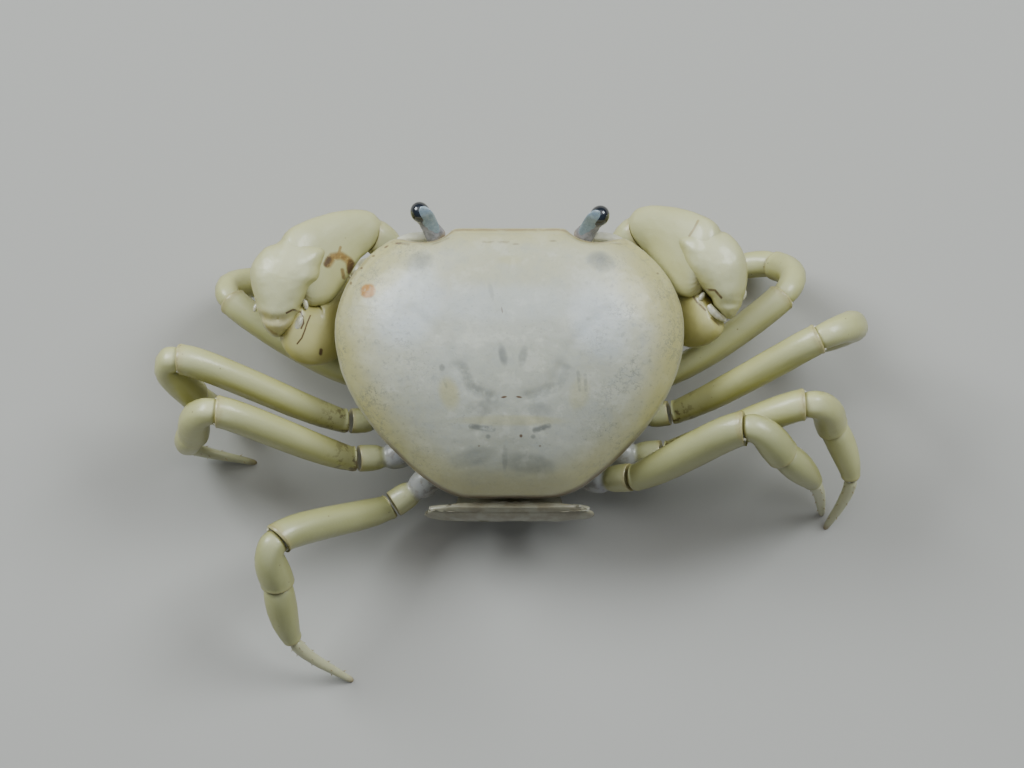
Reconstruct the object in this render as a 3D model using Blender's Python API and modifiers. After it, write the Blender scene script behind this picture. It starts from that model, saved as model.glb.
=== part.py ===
"""A pale freshwater crab at life size, standing still on its eight walking legs.

The crab faces -Y, its left side is +X and it stands on z = 0. Sizes are in millimetres
and become metres when a mesh is made. Headings are degrees in plan: 0 points straight out
to the animal's side and 90 straight ahead. Pitches are degrees above level.
"""
import math

import bmesh
import bpy
from mathutils import Vector

MM = 0.001
GAP = 0.3
UP = Vector((0.0, 0.0, 1.0))

# Shell: half of its outline from the middle of the front to the middle of the rear
SHELL_TOP = 17.5
SHELL_BASE = 7.0
SHELL_POLE_Y = -1.2
FRONT_HALF_WIDTH = 4.7
FRONT_Y = -11.4
FRONT_Z = 12.2
REAR_HALF_WIDTH = 4.2
REAR_Y = 11.4
REAR_Z = 8.8
ORBIT_EDGE = [(4.9, -11.2, 12.1), (5.8, -10.35, 11.9), (7.2, -10.05, 11.8), (8.8, -10.25, 11.7)]
NOTCH_DEPTH = 0.85
BROW_BULGE = 0.2
SIDE_EDGE = [
    (9.8, -10.7, 11.6), (11.9, -9.2, 11.8), (14.0, -6.5, 12.2), (14.95, -3.0, 12.3),
    (14.3, 1.0, 11.9), (12.1, 5.0, 11.0), (8.8, 8.5, 9.8), (6.1, 10.6, 9.0),
]
SIDE_STEPS = 20
DOME_RINGS = (0.16, 0.34, 0.5, 0.64, 0.76, 0.86, 0.93, 0.975, 1.0)
WALL_DROPS = (0.12, 0.3, 0.5, 0.7, 0.87, 1.0)
WALL_FOOT = 0.63
MOUTH_REACH = 8.5
DOME_POWER_FRONT = 2.25
DOME_POWER_REAR = 1.75
WALL_POWER_FRONT = 0.85
WALL_POWER_SIDE = 1.6
MOUTH_FADE = 1.6
ORBIT_CENTRE = (7.2, -11.3, 10.75)
ORBIT_RADII = (2.2, 1.5, 0.95)
SHARP_DEGREES = 40
BALL_DETAIL = (16, 12)

# Breastplate: half widths against y, and its levels with their share of the full outline
BREAST_OUTLINE = [
    (-6.6, 2.2), (-6.1, 4.4), (-5.0, 6.2), (-3.0, 7.7), (-0.5, 8.6), (2.0, 9.1),
    (4.4, 9.1), (6.4, 8.4), (8.0, 7.1), (9.3, 5.2), (10.1, 2.6),
]
BREAST_MIDDLE_Y = 1.5
BREAST_LEVELS = [(3.4, 0.86), (3.75, 0.96), (4.3, 1.0), (6.1, 1.0), (6.6, 0.96)]

# Abdomen: y, z, half width and half thickness from the shell's rear edge to the tail tip
ABDOMEN_STATIONS = [
    (11.9, 8.75, 5.0, 0.33), (12.15, 8.3, 6.9, 0.4), (12.5, 7.7, 7.5, 0.46),
    (12.8, 6.7, 7.1, 0.48), (12.7, 5.4, 5.7, 0.45), (12.15, 4.1, 5.0, 0.42),
    (11.0, 3.05, 4.5, 0.4), (9.4, 2.7, 4.2, 0.38), (6.0, 2.65, 3.6, 0.38),
    (2.5, 2.65, 2.9, 0.38), (-1.0, 2.65, 2.2, 0.38), (-3.6, 2.7, 1.6, 0.36),
    (-5.0, 2.75, 0.8, 0.3),
]
ABDOMEN_SIDES = 18
ABDOMEN_SQUARENESS = 3.0

# Mouth plates: y, z and half width of the pair from top to bottom
MOUTH_STATIONS = [
    (-10.5, 10.3, 2.9), (-10.25, 9.7, 3.5), (-9.75, 8.9, 3.9), (-9.2, 8.0, 4.1),
    (-8.7, 7.1, 4.2), (-8.3, 6.2, 4.0), (-8.0, 5.4, 3.5), (-7.8, 4.7, 2.8),
]
MOUTH_HALF_THICKNESS = 0.45
MOUTH_SIDES = 16
MOUTH_SQUARENESS = 3.5

# Eyes and feelers, left side
STALK_BASE = (6.15, -11.1, 10.55)
STALK_TIP = (7.4, -13.3, 13.0)
STALK_RADII = [(0.0, 0.8), (0.2, 0.78), (0.5, 0.66), (0.75, 0.72), (0.9, 0.7), (1.0, 0.5)]
STALK_SIDES = 12
STALK_CUT = 1.0
STALK_FACE_TURN = 1.6
EYE_RADIUS = 0.82
FEELER_BASE = (4.45, -10.85, 10.25)
FEELER_TIP = (4.9, -11.35, 8.8)
FEELER_RADII = [(0.0, 0.42), (0.35, 0.4), (0.7, 0.3), (1.0, 0.26)]
FEELER_SIDES = 8

# Walking legs: lengths of hip, upper leg, knee, shin and toe by pair, counted from the claws
LEG_LENGTHS = {
    2: (3.5, 13.7, 6.1, 6.6, 6.8),
    3: (4.6, 16.8, 6.5, 7.0, 7.5),
    4: (4.9, 14.6, 5.7, 5.8, 6.1),
    5: (4.9, 12.5, 4.7, 6.4, 7.2),
}
LEG_ROOTS = {2: (-0.6, 5.0), 3: (3.9, 5.0), 4: (6.75, 4.95), 5: (8.7, 5.1)}
LEG_ROOT_HEADINGS = {2: 5.0, 3: -8.0, 4: -35.0, 5: -55.0}
# Heading and pitch of hip, upper leg, knee and shin, then the toe's heading
LEG_POSES = {
    ("left", 2): ((-20.5, 1), (29, 9), (140.5, -54.5), (178.5, -9), 178),
    ("left", 3): ((-6.5, 9), (17.5, 26.5), (-115.5, -64), (-158, -62), -163),
    ("left", 4): ((-10.5, 4.5), (15.5, 32.6), (-33, -63.5), (-65.5, -82.5), -168.5),
    ("left", 5): ((-37, -11), (-20.5, 35), (-90, -38.5), (-105.5, -43), -147),
    ("right", 2): ((-21.5, 1), (31, 14), (99.5, -57), (-176, -19), -176.5),
    ("right", 3): ((3.5, 1), (23.5, 36.5), (27, -59), (-161.5, -62), -158),
    ("right", 4): ((-4.5, 2), (16, 31.5), (-31.5, -58), (-67.5, -41.5), -116.5),
    ("right", 5): ((-10, 29), (20.5, 36), (-32, -34), (-34, -58), -64),
}
# Along each leg piece: position, half width in plan and half height
LEG_SHAPES = {
    "hip": [(0.0, 1.05, 1.1), (0.16, 1.25, 1.3), (0.42, 1.2, 1.25), (0.56, 0.98, 1.0),
            (0.72, 1.15, 1.2), (0.93, 1.16, 1.25), (1.0, 1.0, 1.08)],
    "merus": [(0.0, 0.98, 1.05), (0.04, 1.12, 1.22), (0.25, 1.24, 1.45), (0.55, 1.34, 1.6),
              (0.85, 1.38, 1.55), (0.97, 1.42, 1.5), (1.0, 1.25, 1.32)],
    "carpus": [(0.0, 1.0, 1.05), (0.08, 1.18, 1.2), (0.35, 1.3, 1.32), (0.65, 1.42, 1.42),
               (0.92, 1.42, 1.4), (1.0, 1.22, 1.2)],
    "propodus": [(0.0, 1.12, 1.1), (0.08, 1.28, 1.25), (0.35, 1.32, 1.28), (0.65, 1.18, 1.12),
                 (0.9, 0.84, 0.86), (1.0, 0.66, 0.68)],
    "dactylus": [(0.0, 0.55, 0.56), (0.07, 0.62, 0.62), (0.3, 0.5, 0.55), (0.6, 0.42, 0.45),
                 (0.85, 0.32, 0.34), (1.0, 0.25, 0.27)],
}
LEG_THICKNESS = {2: 0.93, 3: 0.96, 4: 1.0, 5: 1.04}
LEG_SIDES = 12
# Share of the piece before each joint in the direction of the joint's faces
JOINT_SHARES = (0.7, 0.6, 0.5, 0.6)
CURVE_HANDLES = {"hip": 0.3, "merus": 0.15, "carpus": 0.42, "propodus": 0.33, "dactylus": 0.33}
PLAIN_HANDLE = 0.3
TOE_SINK = 0.25
TOE_DROOP = 0.45

# Claws: hip, arm, then the wrist piece as a rounded block between two cuts. Places are those
# of the left claw, or of each claw with x counted outwards
CLAW_ROOT = (-4.9, 5.0)
CLAW_ROOT_HEADING = 38.0
CLAW_HIP_ENDS = {"left": (12.1, -11.8, 8.2), "right": (11.3, -12.1, 8.4)}
CLAW_ARM_ENDS = {"left": (16.8, -8.9, 11.9), "right": (16.0, -9.7, 12.1)}
CLAW_HIP_SHAPE = [(0.0, 1.25, 1.2), (0.12, 1.5, 1.4), (0.4, 1.45, 1.4), (0.52, 1.25, 1.25),
                  (0.7, 1.45, 1.45), (0.93, 1.6, 1.5), (1.0, 1.4, 1.3)]
CLAW_ARM_SHAPE = [(0.0, 1.4, 1.25), (0.06, 1.7, 1.45), (0.3, 2.15, 1.6), (0.6, 2.6, 1.75),
                  (0.88, 3.0, 1.8), (0.97, 3.0, 1.7), (1.0, 2.75, 1.45)]
WRIST_CENTRES = {"left": (19.1, -6.6, 12.6), "right": (17.5, -8.0, 12.8)}
WRIST_RADII = {"left": (3.1, 4.6, 2.5), "right": (2.85, 4.3, 2.45)}
# Outward lean of the wrist's outline towards the tail
WRIST_SKEWS = {"left": 0.12, "right": 0.27}
WRIST_DETAIL = (24, 16)
WRIST_SPINE_AIM = (-0.78, -0.5, 0.32)
WRIST_SPINE_HEIGHT = 1.7
WRIST_SPINE_SPREAD = 0.42
WRIST_SPINE_POWER = 1.5
PALM_STARTS = {"left": (18.1, -3.9, 11.5), "right": (17.2, -5.3, 11.3)}
PALM_START_AIM = (-0.78, 0.48, -0.42)
PALM_SOCKET = (1.6, 1.3)
PALM_SQUARENESS = 2.4
# Palms: centre, half height and half thickness
PALM_STATIONS = {
    "left": [
        ((17.6, -3.3, 11.1), 2.1, 1.35), ((17.0, -2.65, 10.5), 2.6, 1.5),
        ((16.2, -2.75, 9.7), 2.85, 1.55), ((15.1, -4.3, 8.4), 2.6, 1.35),
        ((13.9, -6.2, 6.2), 2.9, 1.65),
    ],
    "right": [
        ((16.6, -4.7, 10.9), 2.3, 1.35), ((16.1, -3.95, 10.3), 2.7, 1.5),
        ((15.4, -4.0, 9.4), 2.9, 1.5), ((14.5, -5.3, 8.2), 2.7, 1.35),
        ((13.3, -6.9, 5.8), 2.8, 1.6),
    ],
}
FINGER_BASES = {"left": (13.0, -6.9, 4.6), "right": (12.4, -7.6, 4.6)}
FINGER_LENGTH = 6.6
FINGER_AIM = (-0.8, -0.44, -0.3)
# Fingers: position from the base, offset across the palm, half height and half thickness
PALM_END_SHAPE = [(-0.09, 0.0, 2.75, 1.6)]
FIXED_FINGER_SHAPE = [(-0.01, -1.5, 1.1, 1.15), (0.3, -1.4, 0.88, 0.92), (0.6, -1.1, 0.68, 0.7),
                      (0.85, -0.65, 0.45, 0.45), (1.0, -0.4, 0.25, 0.25)]
FREE_FINGER_SHAPE = [(0.06, 1.45, 0.95, 0.95), (0.12, 1.5, 1.12, 1.1), (0.35, 1.5, 0.92, 0.92),
                     (0.62, 1.2, 0.68, 0.7), (0.86, 0.75, 0.45, 0.45), (1.0, 0.45, 0.26, 0.26)]
CLAW_SIDES = 16

COLOURS = {
    "shell": ((0.72, 0.72, 0.56, 1.0), 0.32),
    "limb": ((0.62, 0.64, 0.36, 1.0), 0.3),
    "claw": ((0.68, 0.7, 0.42, 1.0), 0.28),
    "stalk": ((0.42, 0.46, 0.5, 1.0), 0.25),
    "eye": ((0.01, 0.01, 0.015, 1.0), 0.08),
}


def make_material(name, colour_name):
    """A Principled material in one of the animal's colours."""
    colour, roughness = COLOURS[colour_name]
    material = bpy.data.materials.new(name)
    material.use_nodes = True
    shader = material.node_tree.nodes["Principled BSDF"]
    shader.inputs["Base Color"].default_value = colour
    shader.inputs["Roughness"].default_value = roughness
    shader.inputs["Metallic"].default_value = 0.0
    return material


def make_object(name, bm, colour_name, collection):
    """Turns a mesh drawn in millimetres into a named object in metres."""
    bmesh.ops.recalc_face_normals(bm, faces=bm.faces[:])
    bmesh.ops.scale(bm, vec=(MM, MM, MM), verts=bm.verts[:])
    mesh = bpy.data.meshes.new(name)
    bm.to_mesh(mesh)
    bm.free()
    mesh.materials.append(make_material(name + "_finish", colour_name))
    mesh.shade_smooth()
    mesh.set_sharp_from_angle(angle=math.radians(SHARP_DEGREES))
    result = bpy.data.objects.new(name, mesh)
    collection.objects.link(result)
    return result


def aim(heading, pitch, side_sign):
    """Unit direction from a heading and a pitch on one side of the body."""
    turn = math.radians(heading)
    rise = math.radians(pitch)
    level = math.cos(rise)
    return Vector((side_sign * math.cos(turn) * level, -math.sin(turn) * level, math.sin(rise)))


def bezier(start, start_aim, end, end_aim, handle, t):
    """Point and direction on a curve that leaves and arrives along two given directions."""
    reach = (end - start).length * handle
    first = start + start_aim * reach
    second = end - end_aim * reach
    s = 1.0 - t
    point = start * s ** 3 + first * 3 * s * s * t + second * 3 * s * t * t + end * t ** 3
    slope = (first - start) * s * s + (second - first) * 2 * s * t + (end - second) * t * t
    return point, slope.normalized()


def rounded_ring(centre, wide_aim, high_aim, half_wide, half_high, count, squareness=2.3):
    """Points of one rounded section."""
    points = []
    for index in range(count):
        angle = math.tau * (index + 0.5) / count
        across = math.copysign(abs(math.cos(angle)) ** (2.0 / squareness), math.cos(angle))
        above = math.copysign(abs(math.sin(angle)) ** (2.0 / squareness), math.sin(angle))
        points.append(centre + wide_aim * across * half_wide + high_aim * above * half_high)
    return points


def skin(bm, rings):
    """Joins a row of like rings into one closed body."""
    loops = [[bm.verts.new(point) for point in ring] for ring in rings]
    for near, far in zip(loops, loops[1:]):
        for index in range(len(near)):
            after = (index + 1) % len(near)
            bm.faces.new((near[index], near[after], far[after], far[index]))
    bm.faces.new(loops[0][::-1])
    bm.faces.new(loops[-1])


def carry(side, direction):
    """The nearest direction to side that is square to the given one."""
    return (side - direction * side.dot(direction)).normalized()


def limb_rings(start, start_aim, end, end_aim, side, shape, count, handle=PLAIN_HANDLE):
    """Sections of one limb piece along its curve, and its last side direction."""
    rings = []
    for t, half_wide, half_high in shape:
        centre, direction = bezier(start, start_aim, end, end_aim, handle, t)
        side = carry(side, direction)
        above = direction.cross(side)
        rings.append(rounded_ring(centre, side, above, half_wide, half_high, count))
    return rings, side


def cut_by_plane(bm, point, normal):
    """Removes what lies beyond a plane and closes the cut with a flat face."""
    geometry = bm.verts[:] + bm.edges[:] + bm.faces[:]
    result = bmesh.ops.bisect_plane(bm, geom=geometry, dist=1e-5, plane_co=point,
                                    plane_no=normal, clear_outer=True)
    edges = [item for item in result["geom_cut"] if isinstance(item, bmesh.types.BMEdge)]
    bmesh.ops.contextual_create(bm, geom=edges)


def smooth_path(points, steps):
    """Points at even steps on a smooth curve through the given ones."""
    padded = [points[0] * 2 - points[1]] + points + [points[-1] * 2 - points[-2]]
    result = []
    for step in range(steps + 1):
        place = step / steps * (len(points) - 1)
        index = min(int(place), len(points) - 2)
        t = place - index
        a, b, c, d = padded[index:index + 4]
        result.append(0.5 * (b * 2 + (c - a) * t + (a * 2 - b * 5 + c * 4 - d) * t * t
                             + (b * 3 - a - c * 3 + d) * t ** 3))
    return result


def shell_edge():
    """Half of the shell's edge, front middle to rear middle, with and without the eye notch."""
    front = [Vector((FRONT_HALF_WIDTH * share, FRONT_Y, FRONT_Z)) for share in (0.0, 0.35, 0.7, 1.0)]
    side = smooth_path([Vector(point) for point in SIDE_EDGE], SIDE_STEPS)
    rear = [Vector((REAR_HALF_WIDTH * share, REAR_Y, REAR_Z)) for share in (1.0, 0.6, 0.0)]
    notch = [Vector(point) for point in ORBIT_EDGE]
    brow = []
    for index in range(len(notch)):
        share = (index + 1) / (len(notch) + 1)
        bulge = BROW_BULGE * math.sin(math.pi * share)
        brow.append(blend(front[-1], side[0], share) + Vector((0.0, -bulge, bulge)))
    return front + notch + side + rear, front + brow + side + rear


def blend(start, end, share):
    """Value part of the way from start to end."""
    return start + (end - start) * share


def build_shell(collection, cutters):
    """The shell with its rounded flanks, mirrored over the middle, with a hollow for each eye."""
    notched_edge, smooth_edge = shell_edge()
    pole = Vector((0.0, SHELL_POLE_Y, SHELL_TOP))
    bm = bmesh.new()
    loops = []
    for ring_share in DOME_RINGS:
        notch_share = max(0.0, (ring_share - NOTCH_DEPTH) / (1.0 - NOTCH_DEPTH))
        loop = []
        for notched, smooth in zip(notched_edge, smooth_edge):
            point = blend(smooth, notched, notch_share)
            backness = (point.y - FRONT_Y) / (REAR_Y - FRONT_Y)
            power = blend(DOME_POWER_FRONT, DOME_POWER_REAR, backness)
            rise = (1.0 - ring_share ** power) ** (1.0 / power)
            loop.append(Vector((point.x * ring_share, blend(pole.y, point.y, ring_share),
                                blend(point.z, pole.z, rise))))
        loops.append(loop)
    for drop in WALL_DROPS:
        loop = []
        for notched, smooth in zip(notched_edge, smooth_edge):
            point = blend(notched, smooth, drop)
            frontness = 0.0
            if point.y < 0:
                frontness = min(1.0, max(0.0, 1.0 - point.x / MOUTH_REACH) * MOUTH_FADE)
            power = blend(WALL_POWER_SIDE, WALL_POWER_FRONT, frontness)
            inset = blend(WALL_FOOT, 1.0, (1.0 - drop ** power) ** (1.0 / power))
            loop.append(Vector((point.x * inset, blend(pole.y, point.y, inset),
                                blend(point.z, SHELL_BASE, drop))))
        loops.append(loop)
    top = bm.verts.new(pole)
    grid = [[bm.verts.new(point) for point in loop] for loop in loops]
    last = len(smooth_edge) - 1
    for index in range(last):
        bm.faces.new((top, grid[0][index], grid[0][index + 1]))
    for upper, lower in zip(grid, grid[1:]):
        for index in range(last):
            bm.faces.new((upper[index], lower[index], lower[index + 1], upper[index + 1]))
    bm.faces.new(grid[-1])
    shell = make_object("carapace", bm, "shell", collection)
    mirror = shell.modifiers.new("both_sides", "MIRROR")
    mirror.use_clip = True
    mirror.merge_threshold = 0.00001
    for sign in (1.0, -1.0):
        hollow = bmesh.new()
        bmesh.ops.create_uvsphere(hollow, u_segments=BALL_DETAIL[0], v_segments=BALL_DETAIL[1],
                                  radius=1.0)
        bmesh.ops.scale(hollow, vec=ORBIT_RADII, verts=hollow.verts[:])
        centre = Vector((ORBIT_CENTRE[0] * sign, ORBIT_CENTRE[1], ORBIT_CENTRE[2]))
        bmesh.ops.translate(hollow, vec=centre, verts=hollow.verts[:])
        side_name = "left" if sign > 0 else "right"
        cutter = make_object("eye_hollow_" + side_name, hollow, "shell", cutters)
        cutter.hide_render = True
        cutter.display_type = "WIRE"
        cut = shell.modifiers.new("eye_hollow", "BOOLEAN")
        cut.operation = "DIFFERENCE"
        cut.object = cutter
        cut.solver = "EXACT"
    return shell


def breast_half_width(y):
    """Half width of the breastplate at one place along the body."""
    for (y0, w0), (y1, w1) in zip(BREAST_OUTLINE, BREAST_OUTLINE[1:]):
        if y0 <= y <= y1:
            return blend(w0, w1, (y - y0) / (y1 - y0))
    return BREAST_OUTLINE[-1][1]


def build_breastplate(collection):
    """The flat underside of the body, between the roots of the legs."""
    left = [Vector((width, y, 0.0)) for y, width in BREAST_OUTLINE]
    right = [Vector((-width, y, 0.0)) for y, width in reversed(BREAST_OUTLINE)]
    rings = []
    for level, share in BREAST_LEVELS:
        rings.append([Vector((point.x * share, blend(BREAST_MIDDLE_Y, point.y, share), level))
                      for point in left + right])
    bm = bmesh.new()
    skin(bm, rings)
    return make_object("sternum", bm, "shell", collection)


def build_abdomen(collection):
    """The tail, folded from the shell's rear edge down and forward under the breastplate."""
    centres = [Vector((0.0, y, z)) for y, z, wide, thick in ABDOMEN_STATIONS]
    rings = []
    for index, (y, z, half_wide, half_thick) in enumerate(ABDOMEN_STATIONS):
        before = centres[max(index - 1, 0)]
        after = centres[min(index + 1, len(centres) - 1)]
        direction = (after - before).normalized()
        side = Vector((1.0, 0.0, 0.0))
        rings.append(rounded_ring(centres[index], side, direction.cross(side), half_wide,
                                  half_thick, ABDOMEN_SIDES, ABDOMEN_SQUARENESS))
    bm = bmesh.new()
    skin(bm, rings)
    return make_object("abdomen", bm, "shell", collection)


def build_mouth(collection):
    """The pair of flat outer mouthparts that close over the mouth."""
    rings = []
    for index, (y, z, half_wide) in enumerate(MOUTH_STATIONS):
        before = MOUTH_STATIONS[max(index - 1, 0)]
        after = MOUTH_STATIONS[min(index + 1, len(MOUTH_STATIONS) - 1)]
        direction = Vector((0.0, after[0] - before[0], after[1] - before[1])).normalized()
        side = Vector((1.0, 0.0, 0.0))
        rings.append(rounded_ring(Vector((0.0, y, z)), side, direction.cross(side), half_wide,
                                  MOUTH_HALF_THICKNESS, MOUTH_SIDES, MOUTH_SQUARENESS))
    bm = bmesh.new()
    skin(bm, rings)
    return make_object("mouthparts", bm, "claw", collection)


def on_side(point, sign):
    """A point given for the left side, on the side of the given sign."""
    return Vector((point[0] * sign, point[1], point[2]))


def build_eye(collection, side_name, sign):
    """An eyestalk, its tip cut slantwise, and the dark eye on the slant."""
    base = on_side(STALK_BASE, sign)
    tip = on_side(STALK_TIP, sign)
    direction = (tip - base).normalized()
    outward = carry(Vector((sign, -0.2, -0.25)), direction)
    face_aim = (direction + outward * STALK_FACE_TURN).normalized()
    shape = [(t, radius, radius) for t, radius in STALK_RADII]
    rings, _ = limb_rings(base, direction, tip, direction, outward, shape, STALK_SIDES)
    bm = bmesh.new()
    skin(bm, rings)
    cut_point = tip - direction * STALK_CUT
    cut_by_plane(bm, cut_point, face_aim)
    make_object("eyestalk_" + side_name, bm, "stalk", collection)
    ball = bmesh.new()
    bmesh.ops.create_uvsphere(ball, u_segments=BALL_DETAIL[0], v_segments=BALL_DETAIL[1],
                              radius=EYE_RADIUS)
    bmesh.ops.translate(ball, vec=cut_point + face_aim * GAP, verts=ball.verts[:])
    cut_by_plane(ball, cut_point + face_aim * GAP, -face_aim)
    make_object("eye_" + side_name, ball, "eye", collection)


def build_feeler(collection, side_name, sign):
    """The short feeler beside the front edge."""
    base = on_side(FEELER_BASE, sign)
    tip = on_side(FEELER_TIP, sign)
    start_aim = Vector((0.0, -1.0, 0.1)).normalized()
    shape = [(t, radius, radius) for t, radius in FEELER_RADII]
    end_aim = (tip - base).normalized()
    rings, _ = limb_rings(base, start_aim, tip, end_aim, Vector((1, 0, 0)), shape, FEELER_SIDES)
    bm = bmesh.new()
    skin(bm, rings)
    make_object("antenna_" + side_name, bm, "stalk", collection)


def leg_joints(side_name, number, sign):
    """Places of a leg's joints, from the breastplate to the floor."""
    root_y, root_z = LEG_ROOTS[number]
    root = Vector((sign * (breast_half_width(root_y) + GAP), root_y, root_z))
    *bends, toe_heading = LEG_POSES[side_name, number]
    joints = [root]
    for (heading, pitch), length in zip(bends, LEG_LENGTHS[number]):
        joints.append(joints[-1] + aim(heading, pitch, sign) * length)
    toe_length = LEG_LENGTHS[number][-1]
    toe_pitch = -math.degrees(math.asin(joints[-1].z / toe_length))
    joints.append(joints[-1] + aim(toe_heading, toe_pitch, sign) * toe_length)
    return joints


def joint_aims(joints, root_aim):
    """Direction that the faces of each joint look along."""
    directions = [(after - before).normalized() for before, after in zip(joints, joints[1:])]
    aims = [root_aim]
    for share, before, after in zip(JOINT_SHARES, directions, directions[1:]):
        aims.append((before * share + after * (1.0 - share)).normalized())
    aims.append((directions[-1] - UP * TOE_DROOP).normalized())
    return aims


def build_leg(collection, side_name, number, sign):
    """One walking leg in five pieces, its toe cut flat where it stands."""
    joints = leg_joints(side_name, number, sign)
    aims = joint_aims(joints, aim(LEG_ROOT_HEADINGS[number], 0, sign))
    side = aims[0].cross(UP) * -1.0
    for index, piece in enumerate(LEG_SHAPES):
        is_toe = piece == "dactylus"
        start = joints[index] + aims[index] * (0.0 if index == 0 else GAP / 2)
        end = joints[index + 1] - aims[index + 1] * (0.0 if is_toe else GAP / 2)
        if is_toe:
            end = end - UP * TOE_SINK
        side = carry(side, aims[index])
        girth = LEG_THICKNESS[number]
        shape = [(t, wide * girth, high * girth) for t, wide, high in LEG_SHAPES[piece]]
        rings, side = limb_rings(start, aims[index], end, aims[index + 1], side, shape, LEG_SIDES,
                                 CURVE_HANDLES[piece])
        bm = bmesh.new()
        skin(bm, rings)
        if is_toe:
            cut_by_plane(bm, Vector((0.0, 0.0, 0.0)), -UP)
        make_object(f"leg{number}_{side_name}_{piece}", bm, "limb", collection)


def station_rings(stations, last_aim, side, count, squareness):
    """Sections through a row of centres, each square to the row there, and the last side."""
    rings = []
    centres = [Vector(centre) for centre, high, thick in stations]
    for index, (centre, half_high, half_thick) in enumerate(stations):
        before = centres[max(index - 1, 0)]
        after = centres[min(index + 1, len(centres) - 1)]
        direction = (after - before).normalized()
        if index == len(stations) - 1:
            direction = (direction + last_aim).normalized()
        side = carry(side, direction)
        rings.append(rounded_ring(Vector(centre), side, direction.cross(side), half_high,
                                  half_thick, count, squareness))
    return rings


def build_wrist(collection, side_name, sign, arm_cut, palm_cut):
    """The wrist: a leaning rounded block with an inner spine, cut flat for the arm and the palm."""
    bm = bmesh.new()
    bmesh.ops.create_uvsphere(bm, u_segments=WRIST_DETAIL[0], v_segments=WRIST_DETAIL[1], radius=1.0)
    spine_aim = on_side(WRIST_SPINE_AIM, sign).normalized()
    centre = on_side(WRIST_CENTRES[side_name], sign)
    for vert in bm.verts:
        apart = vert.co.normalized().angle(spine_aim)
        lift = max(0.0, 1.0 - apart / WRIST_SPINE_SPREAD) ** WRIST_SPINE_POWER
        shaped = Vector(a * b for a, b in zip(vert.co, WRIST_RADII[side_name]))
        shaped += spine_aim * lift * WRIST_SPINE_HEIGHT
        shaped.x += shaped.y * WRIST_SKEWS[side_name] * sign
        vert.co = centre + shaped
    for point, normal in (arm_cut, palm_cut):
        cut_by_plane(bm, point, normal)
    make_object(f"claw_{side_name}_carpus", bm, "claw", collection)


def build_claw(collection, side_name, sign):
    """One claw limb: hip, arm, wrist, palm with its fixed finger, and the free finger."""
    root_y, root_z = CLAW_ROOT
    root = Vector((sign * (breast_half_width(root_y) + GAP), root_y, root_z))
    hip_end = on_side(CLAW_HIP_ENDS[side_name], sign)
    arm_end = on_side(CLAW_ARM_ENDS[side_name], sign)
    hip_aim = (hip_end - root).normalized()
    arm_aim = (arm_end - hip_end).normalized()
    root_aim = aim(CLAW_ROOT_HEADING, 0, sign)
    elbow_aim = (hip_aim + arm_aim).normalized()
    side = carry(Vector((0.0, -1.0, 0.0)), root_aim)

    rings, side = limb_rings(root, root_aim, hip_end - elbow_aim * GAP / 2, elbow_aim, side,
                             CLAW_HIP_SHAPE, CLAW_SIDES)
    bm = bmesh.new()
    skin(bm, rings)
    make_object(f"claw_{side_name}_hip", bm, "claw", collection)

    rings, _ = limb_rings(hip_end + elbow_aim * GAP / 2, elbow_aim, arm_end - arm_aim * GAP / 2,
                          arm_aim, Vector((0.0, -1.0, 0.0)), CLAW_ARM_SHAPE, CLAW_SIDES)
    bm = bmesh.new()
    skin(bm, rings)
    make_object(f"claw_{side_name}_merus", bm, "claw", collection)

    palm_start = on_side(PALM_STARTS[side_name], sign)
    palm_aim = on_side(PALM_START_AIM, sign).normalized()
    build_wrist(collection, side_name, sign, (arm_end + arm_aim * GAP / 2, -arm_aim),
                (palm_start, palm_aim))

    finger_aim = on_side(FINGER_AIM, sign).normalized()
    finger_side = carry(Vector((0.0, -1.0, 0.0)), finger_aim)
    finger_base = on_side(FINGER_BASES[side_name], sign)

    def finger_rings(shape, count):
        """Sections along a finger, offset towards or away from the palm's upper edge."""
        return [rounded_ring(finger_base + finger_aim * FINGER_LENGTH * t + finger_side * offset,
                             finger_side, finger_aim.cross(finger_side), high, thick, count)
                for t, offset, high, thick in shape]

    palm_side = carry(Vector((0.0, -1.0, 0.0)), palm_aim)
    socket = rounded_ring(palm_start + palm_aim * GAP, palm_side, palm_aim.cross(palm_side),
                          PALM_SOCKET[0], PALM_SOCKET[1], CLAW_SIDES)
    palm = [(on_side(centre, sign), high, thick)
            for centre, high, thick in PALM_STATIONS[side_name]]
    rings = station_rings(palm, finger_aim, palm_side, CLAW_SIDES, PALM_SQUARENESS)
    fixed = finger_rings(PALM_END_SHAPE + FIXED_FINGER_SHAPE, CLAW_SIDES)
    bm = bmesh.new()
    skin(bm, [socket] + rings + fixed)
    make_object(f"claw_{side_name}_palm", bm, "claw", collection)

    bm = bmesh.new()
    skin(bm, finger_rings(FREE_FINGER_SHAPE, CLAW_SIDES))
    make_object(f"claw_{side_name}_finger", bm, "claw", collection)


def centre_on_origin(collection):
    """The shift that sets the middle of the crab's box over the origin."""
    corners = [vert.co for item in collection.objects for vert in item.data.vertices]
    mirrored = [Vector((-corner.x, corner.y, corner.z)) for corner in
                (vert.co for vert in collection.objects["carapace"].data.vertices)]
    corners = corners + mirrored
    middle_x = (min(c.x for c in corners) + max(c.x for c in corners)) / 2
    middle_y = (min(c.y for c in corners) + max(c.y for c in corners)) / 2
    return Vector((-middle_x, -middle_y, 0.0))


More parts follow.
